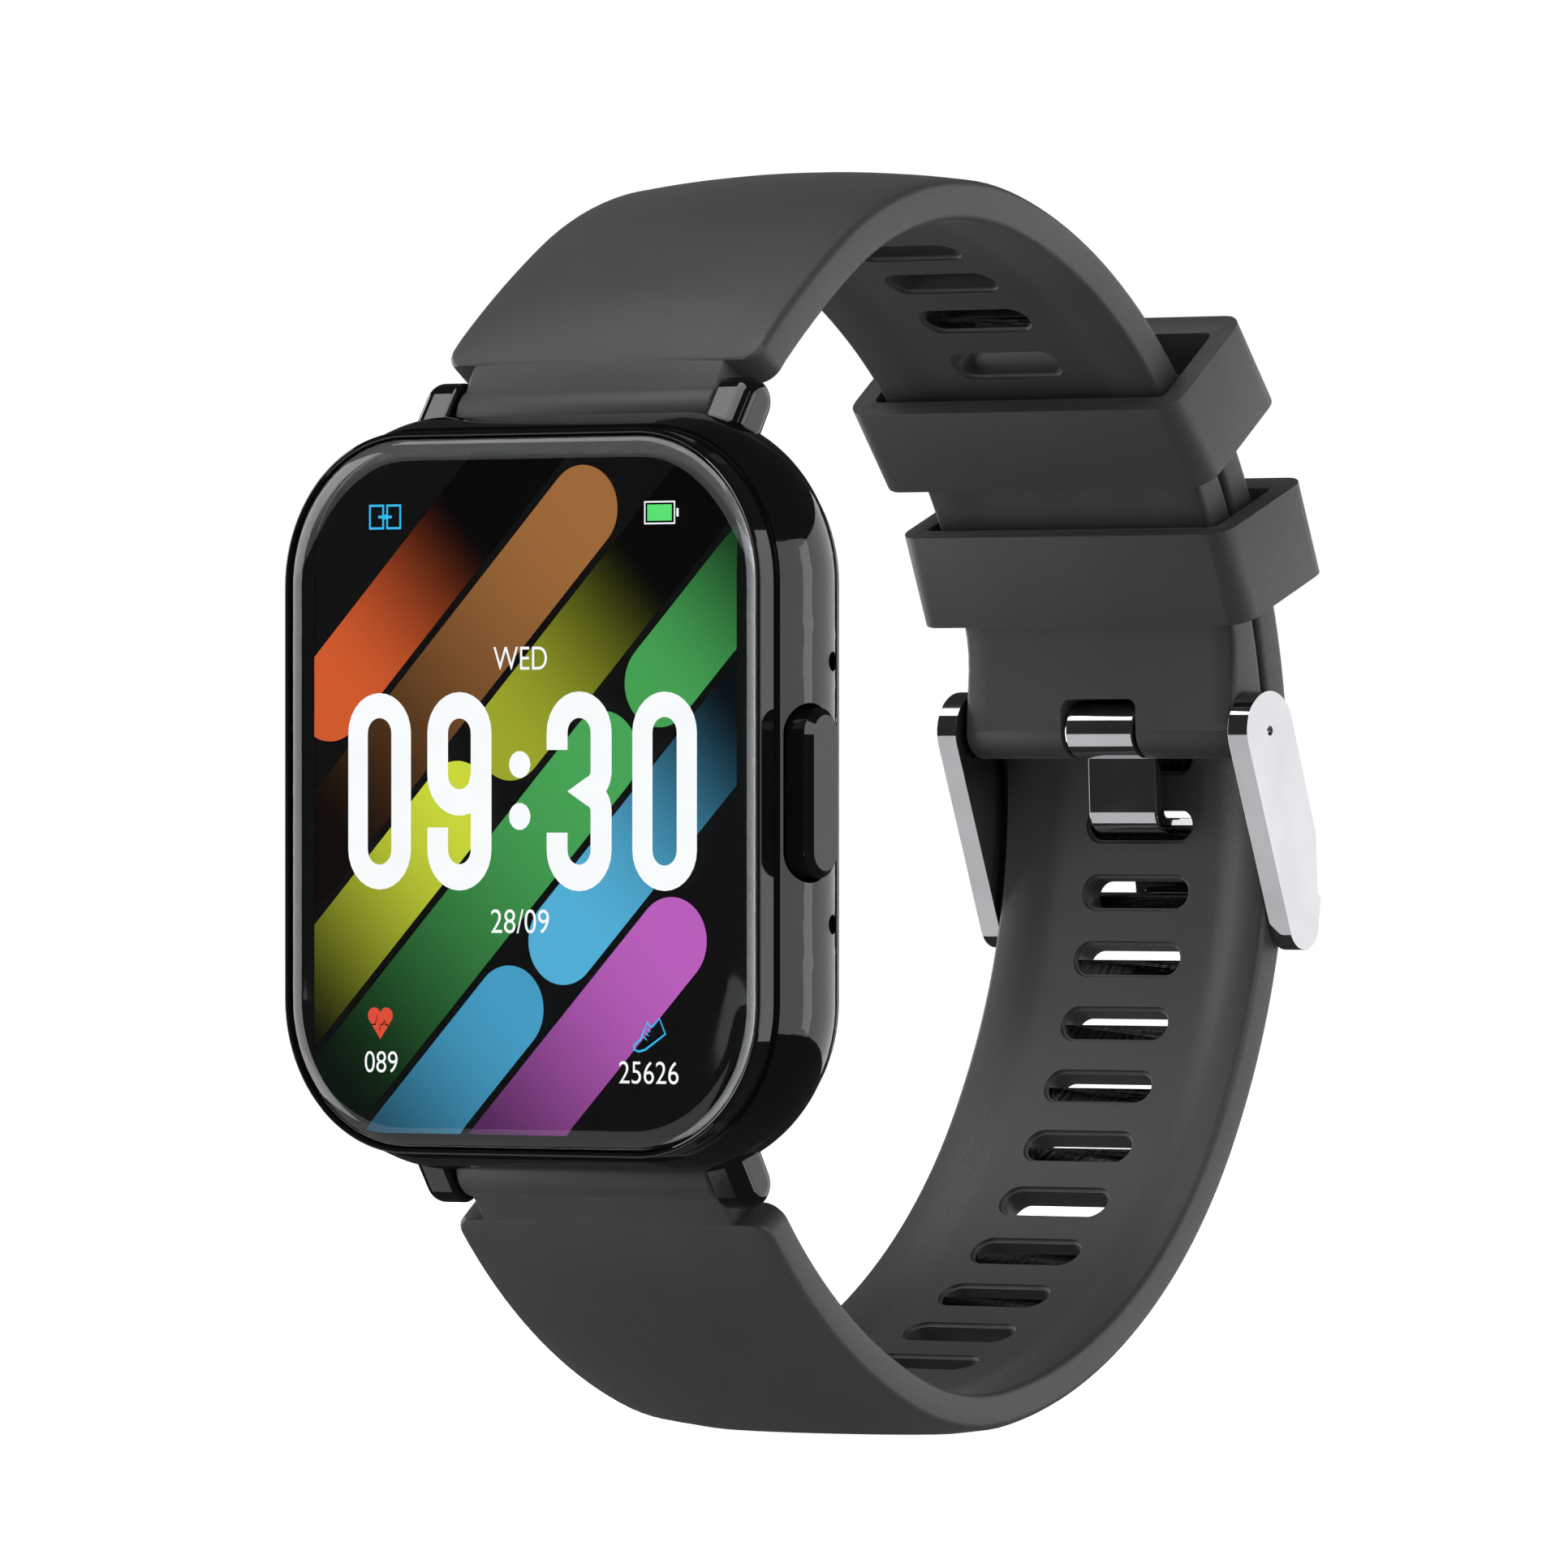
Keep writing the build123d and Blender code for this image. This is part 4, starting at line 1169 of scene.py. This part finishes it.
        return [
            (Bench.join(link, "display_link_sign"), blue),
            (Bench.join([outline, nub], "display_battery_outline"), white),
            (charge, green),
            (heart, red),
            (pulse, black),
            (Bench.join([shoe, *laces], "display_shoe"), blue),
        ]

    def build(self) -> None:
        """Make the picture, layer by layer."""
        for index, bar in enumerate(self.bars()):
            piece = self.flat_bar(index, bar)
            finish = Lit(f"display_bar_{index}", bar.near_colour, bar.far_colour, *bar.fade)
            hand_over(piece, "case", finish)
        white = Lit("display_white", "#ffffff", strength=1.15)
        hand_over(self.clock(), "case", white)
        for name, text, box in (
            ("display_day", "WED", (-2.27, 7.45, 1.84, 8.85)),
            ("display_date", "28/09", (-2.46, -8.5, 2.0, -7.05)),
            ("display_pulse_count", "089", (-12.25, -17.05, -9.7, -15.75)),
            ("display_step_count", "25626", (7.35, -17.5, 11.85, -16.15)),
        ):
            hand_over(self.words(name, text, box), "case", white)
        for piece, finish in self.icons():
            hand_over(piece, "case", finish)


# ------------------------------------------------------------------ dressing of CAD nodes
ENDS = ("upper", "lower")
PLAIN_PARTS: dict[Stock, tuple[str, ...]] = {
    Stock.PIANO_BLACK: ("bezel_ring", "mid_frame", "button_cap"),
    Stock.SATIN_BLACK: ("rear_cover", "button_switch"),
    Stock.TINTED_WINDOW: ("sensor_window",),
    Stock.SEAL_RUBBER: ("glass_gasket", "rear_gasket", "button_seal"),
    Stock.PANEL: ("display_panel",),
    Stock.DARK_STEEL: ("rear_screws", "button_clip"),
    Stock.GOLD: ("charging_contacts", "microphone"),
    Stock.BOARD: ("main_board",),
    Stock.SENSOR_BOARD: ("sensor_board",),
    Stock.POUCH: ("battery",),
    Stock.MEMBRANE: ("vent_membrane",),
    Stock.CHROME: ("buckle_frame", "buckle_tongue", "buckle_pin"),
    Stock.TURNED_STEEL: (
        "vibration_motor",
        "button_stem",
        *(f"{part}_{end}" for part in ("spring_bar", "bar_spring") for end in ENDS),
        *(f"bar_tip_{end}_{side}" for end in ENDS for side in ("left", "right")),
    ),
}


def dress_plain_parts() -> None:
    """Dress the nodes whose CAD shape stays, or is only eased."""
    for finish, nodes in PLAIN_PARTS.items():
        for node in nodes:
            dress(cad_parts[node], finish)
            LOG.info("%s: CAD shape, %s", node, finish.value.name)


@dataclass(frozen=True)
class EasedPart:
    """A node remade with its sharp edges broken, as polishing leaves them."""

    node: str
    body: str
    slot: str
    finish: Stock
    width: float
    merge_mm: float = 0.002
    flat_angle: float = 0.3  # triangles that turn less than this are one face
    edge_angle: float = 35.0  # edges that turn more than this are rounded
    smooth_angle: float = 22.0

    def build(self) -> None:
        """Copy the node's shape, join its triangles and round its edges."""
        piece = Bench.copy(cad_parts[self.node], f"{self.node}_eased", Matrix())
        Bench.take(piece)
        bpy.ops.object.mode_set(mode="EDIT")
        bpy.ops.mesh.select_all(action="SELECT")
        bpy.ops.mesh.remove_doubles(threshold=self.merge_mm * MM)
        bpy.ops.mesh.dissolve_limited(angle_limit=math.radians(self.flat_angle))
        bpy.ops.object.mode_set(mode="OBJECT")
        Bench.soften(piece, self.width, 2, self.edge_angle)
        Bench.tidy(piece, self.smooth_angle, self.merge_mm / 2)
        hand_over(piece, self.body, self.finish, [self.node])


# ------------------------------------------------------------------ studio
@dataclass
class Studio:
    """Camera, soft lights, pale floor and sky."""

    azimuth: float = 37.0
    distance: float = 858.6
    focal_mm: float = 325.7
    sensor_mm: float = 36.0
    aim_right: float = 16.13  # from the middle of the face to the line of sight
    face_y: float = -9.6
    shift_y: float = 11 / 1932
    floor_gap: float = 0.3
    floor_radius: float = 2.5  # m
    floor_tone_mm: float = 60.0
    floor_glow: float = 0.95
    light_distance: float = 700.0
    band_middle: Triple = (0.0, 25.0, 0.0)  # what the lights face, mm
    glow: float = 0.26  # of the sky on matt things
    gloss: float = 0.04  # of the sky in reflections

    def camera(self) -> None:
        """The camera, level, to the right of the display."""
        turn = math.radians(self.azimuth)
        right = Vector((math.cos(turn), math.sin(turn), 0))
        back = Vector((math.sin(turn), -math.cos(turn), 0))
        data = bpy.data.cameras.new("camera")
        data.lens = self.focal_mm
        data.sensor_width = self.sensor_mm
        data.shift_y = self.shift_y
        data.clip_end = 100
        camera = bpy.data.objects.new("camera", data)
        bpy.context.scene.collection.objects.link(camera)
        face = Vector((0, self.face_y, 0))
        camera.location = (face + right * self.aim_right + back * self.distance) * MM
        camera.rotation_euler = (math.pi / 2, 0, turn)
        bpy.context.scene.camera = camera

    def softbox(self, name: str, bearing: float, height: float, size: Point, watts: float) -> None:
        """A soft light that faces the watch.

        Args:
            name: the light's name.
            bearing: degrees from -Y towards +X.
            height: degrees above the horizon.
            size: width and height, mm.
            watts: its power.
        """
        data = bpy.data.lights.new(name, "AREA")
        data.shape = "RECTANGLE"
        data.size, data.size_y = size[0] * MM, size[1] * MM
        data.energy = watts
        light = bpy.data.objects.new(name, data)
        bpy.context.scene.collection.objects.link(light)
        a, e = math.radians(bearing), math.radians(height)
        out = Vector((math.sin(a) * math.cos(e), -math.cos(a) * math.cos(e), math.sin(e)))
        light.location = (Vector(self.band_middle) + out * self.light_distance) * MM
        light.rotation_mode = "QUATERNION"
        light.rotation_quaternion = out.to_track_quat("Z", "Y")
        light.visible_camera = False

    def lights(self) -> None:
        """Broad soft boxes: left, rear right for the side wall and chrome, above, and a key."""
        self.softbox("left_box", -80, 4, (860, 620), 5.6)
        self.softbox("rear_right_box", 150, 3, (1100, 560), 3.1)
        self.softbox("right_box", 100, 3, (600, 560), 1.65)
        self.softbox("top_box", -22, 62, (760, 520), 4.2)
        self.softbox("front_key", 60, 24, (520, 420), 1.8)
        self.softbox("under_box", -45, -30, (760, 520), 1.1)

    def sky(self) -> None:
        """White behind the watch, an even glow on rubber, and dark in reflections."""
        world = bpy.data.worlds.new("studio")
        bpy.context.scene.world = world
        world.use_nodes = True
        tree = world.node_tree
        path = add_node(tree, "ShaderNodeLightPath").outputs
        glow, dark, white = ((v, v, v, 1.0) for v in (self.glow, self.gloss, 1.0))
        gloss = {0: path["Is Glossy Ray"], 6: glow, 7: dark}
        lit = add_node(tree, "ShaderNodeMix", gloss, data_type="RGBA").outputs[2]
        seen = {0: path["Is Camera Ray"], 6: lit, 7: white}
        backdrop = add_node(tree, "ShaderNodeMix", seen, data_type="RGBA").outputs[2]
        tree.links.new(backdrop, tree.nodes["Background"].inputs["Color"])

    def floor(self) -> None:
        """A pale floor just under the strap, lit as brightly as the backdrop."""
        low = CAD_BOUNDS[0].z / MM - self.floor_gap
        Bench.clear()
        bpy.ops.mesh.primitive_circle_add(
            vertices=96, radius=self.floor_radius, fill_type="NGON", location=(0, 0, low * MM)
        )
        floor = Bench.settle("floor")
        white = (1.0, 1.0, 1.0, 1.0)
        glow = {"Emission_Color": white, "Emission_Strength": self.floor_glow}
        recipe = Recipe("matt_white_paint", Roughness=0.9, **glow)
        recipe.tint(recipe.patches(self.floor_tone_mm), linear("#f2f2f2"), linear("#f7f7f7"))
        floor.data.materials.append(recipe.material)
        floor.visible_glossy = False

    def build(self) -> None:
        """Set up everything that isn't the watch."""
        self.camera()
        self.lights()
        self.sky()
        self.floor()
        bpy.context.scene.view_settings.view_transform = "Standard"


def strap_halves() -> list[StrapHalf]:
    """The short half with the buckle and the long half with the tail."""
    short_bends = ((38.35, 34.7), (34.4, 34.7), (22.65, 48.3), (67.0, 8.0), (8.0, 34.0))
    long_bends = ((41.17, 65.7), (49.0, 5.0), (34.45, 50.4), (19.3, 30.0), (36.1, 35.5))
    short_radius, long_radius = short_bends[0][0], long_bends[0][0]
    short_start, tail_start = 6.0, 40.0  # degrees round the loop
    first_vent, vent_step, vent_drift = 46.4, 6.8, 0.15  # degrees, degrees, mm
    vents = []
    for index in range(4):
        turn = math.radians(first_vent + vent_step * index - short_start)
        vents.append(turn * short_radius - vent_drift * index)
    tongue_z, pitch = -2.1, 4.45
    tongue_turn = math.radians(tail_start) - math.asin(tongue_z / long_radius)
    holes = [tongue_turn * long_radius + pitch * index for index in range(-4, 11)]
    short = StrapHalf(
        "strap_short_moulded", "short_strap", short_bends, short_start, 1, 2.5, vents, 23.0,
        pin_window=True, swell=1.15, trough_start=(12.0, 20.0),
    )
    long = StrapHalf(
        "strap_long_moulded", "long_strap", long_bends, tail_start, -1, 2.25, holes, -23.0,
        rounded_start=5.0,
    )
    return [short, long]


def main() -> None:
    """Build the watch round its frame, then the studio."""
    logging.basicConfig(level=logging.INFO, format="%(name)s: %(message)s")
    dress_plain_parts()
    CoverGlassPiece().build()
    WatchFace().build()
    EasedPart("bezel_ring", "case", "bezel_ring", Stock.PIANO_BLACK, 0.12).build()
    EasedPart("buckle_frame", "buckle", "buckle", Stock.CHROME, 0.16).build()
    EasedPart("buckle_tongue", "tongue", "buckle", Stock.CHROME, 0.12).build()
    for half in strap_halves():
        half.build()
    KeeperLoop("keeper_upper_moulded", "keeper_upper", "upper_keeper", 37.9).build()
    KeeperLoop("keeper_lower_moulded", "keeper_lower", "lower_keeper", 22.4).build()
    Studio().build()


if __name__ == "__main__":
    main()
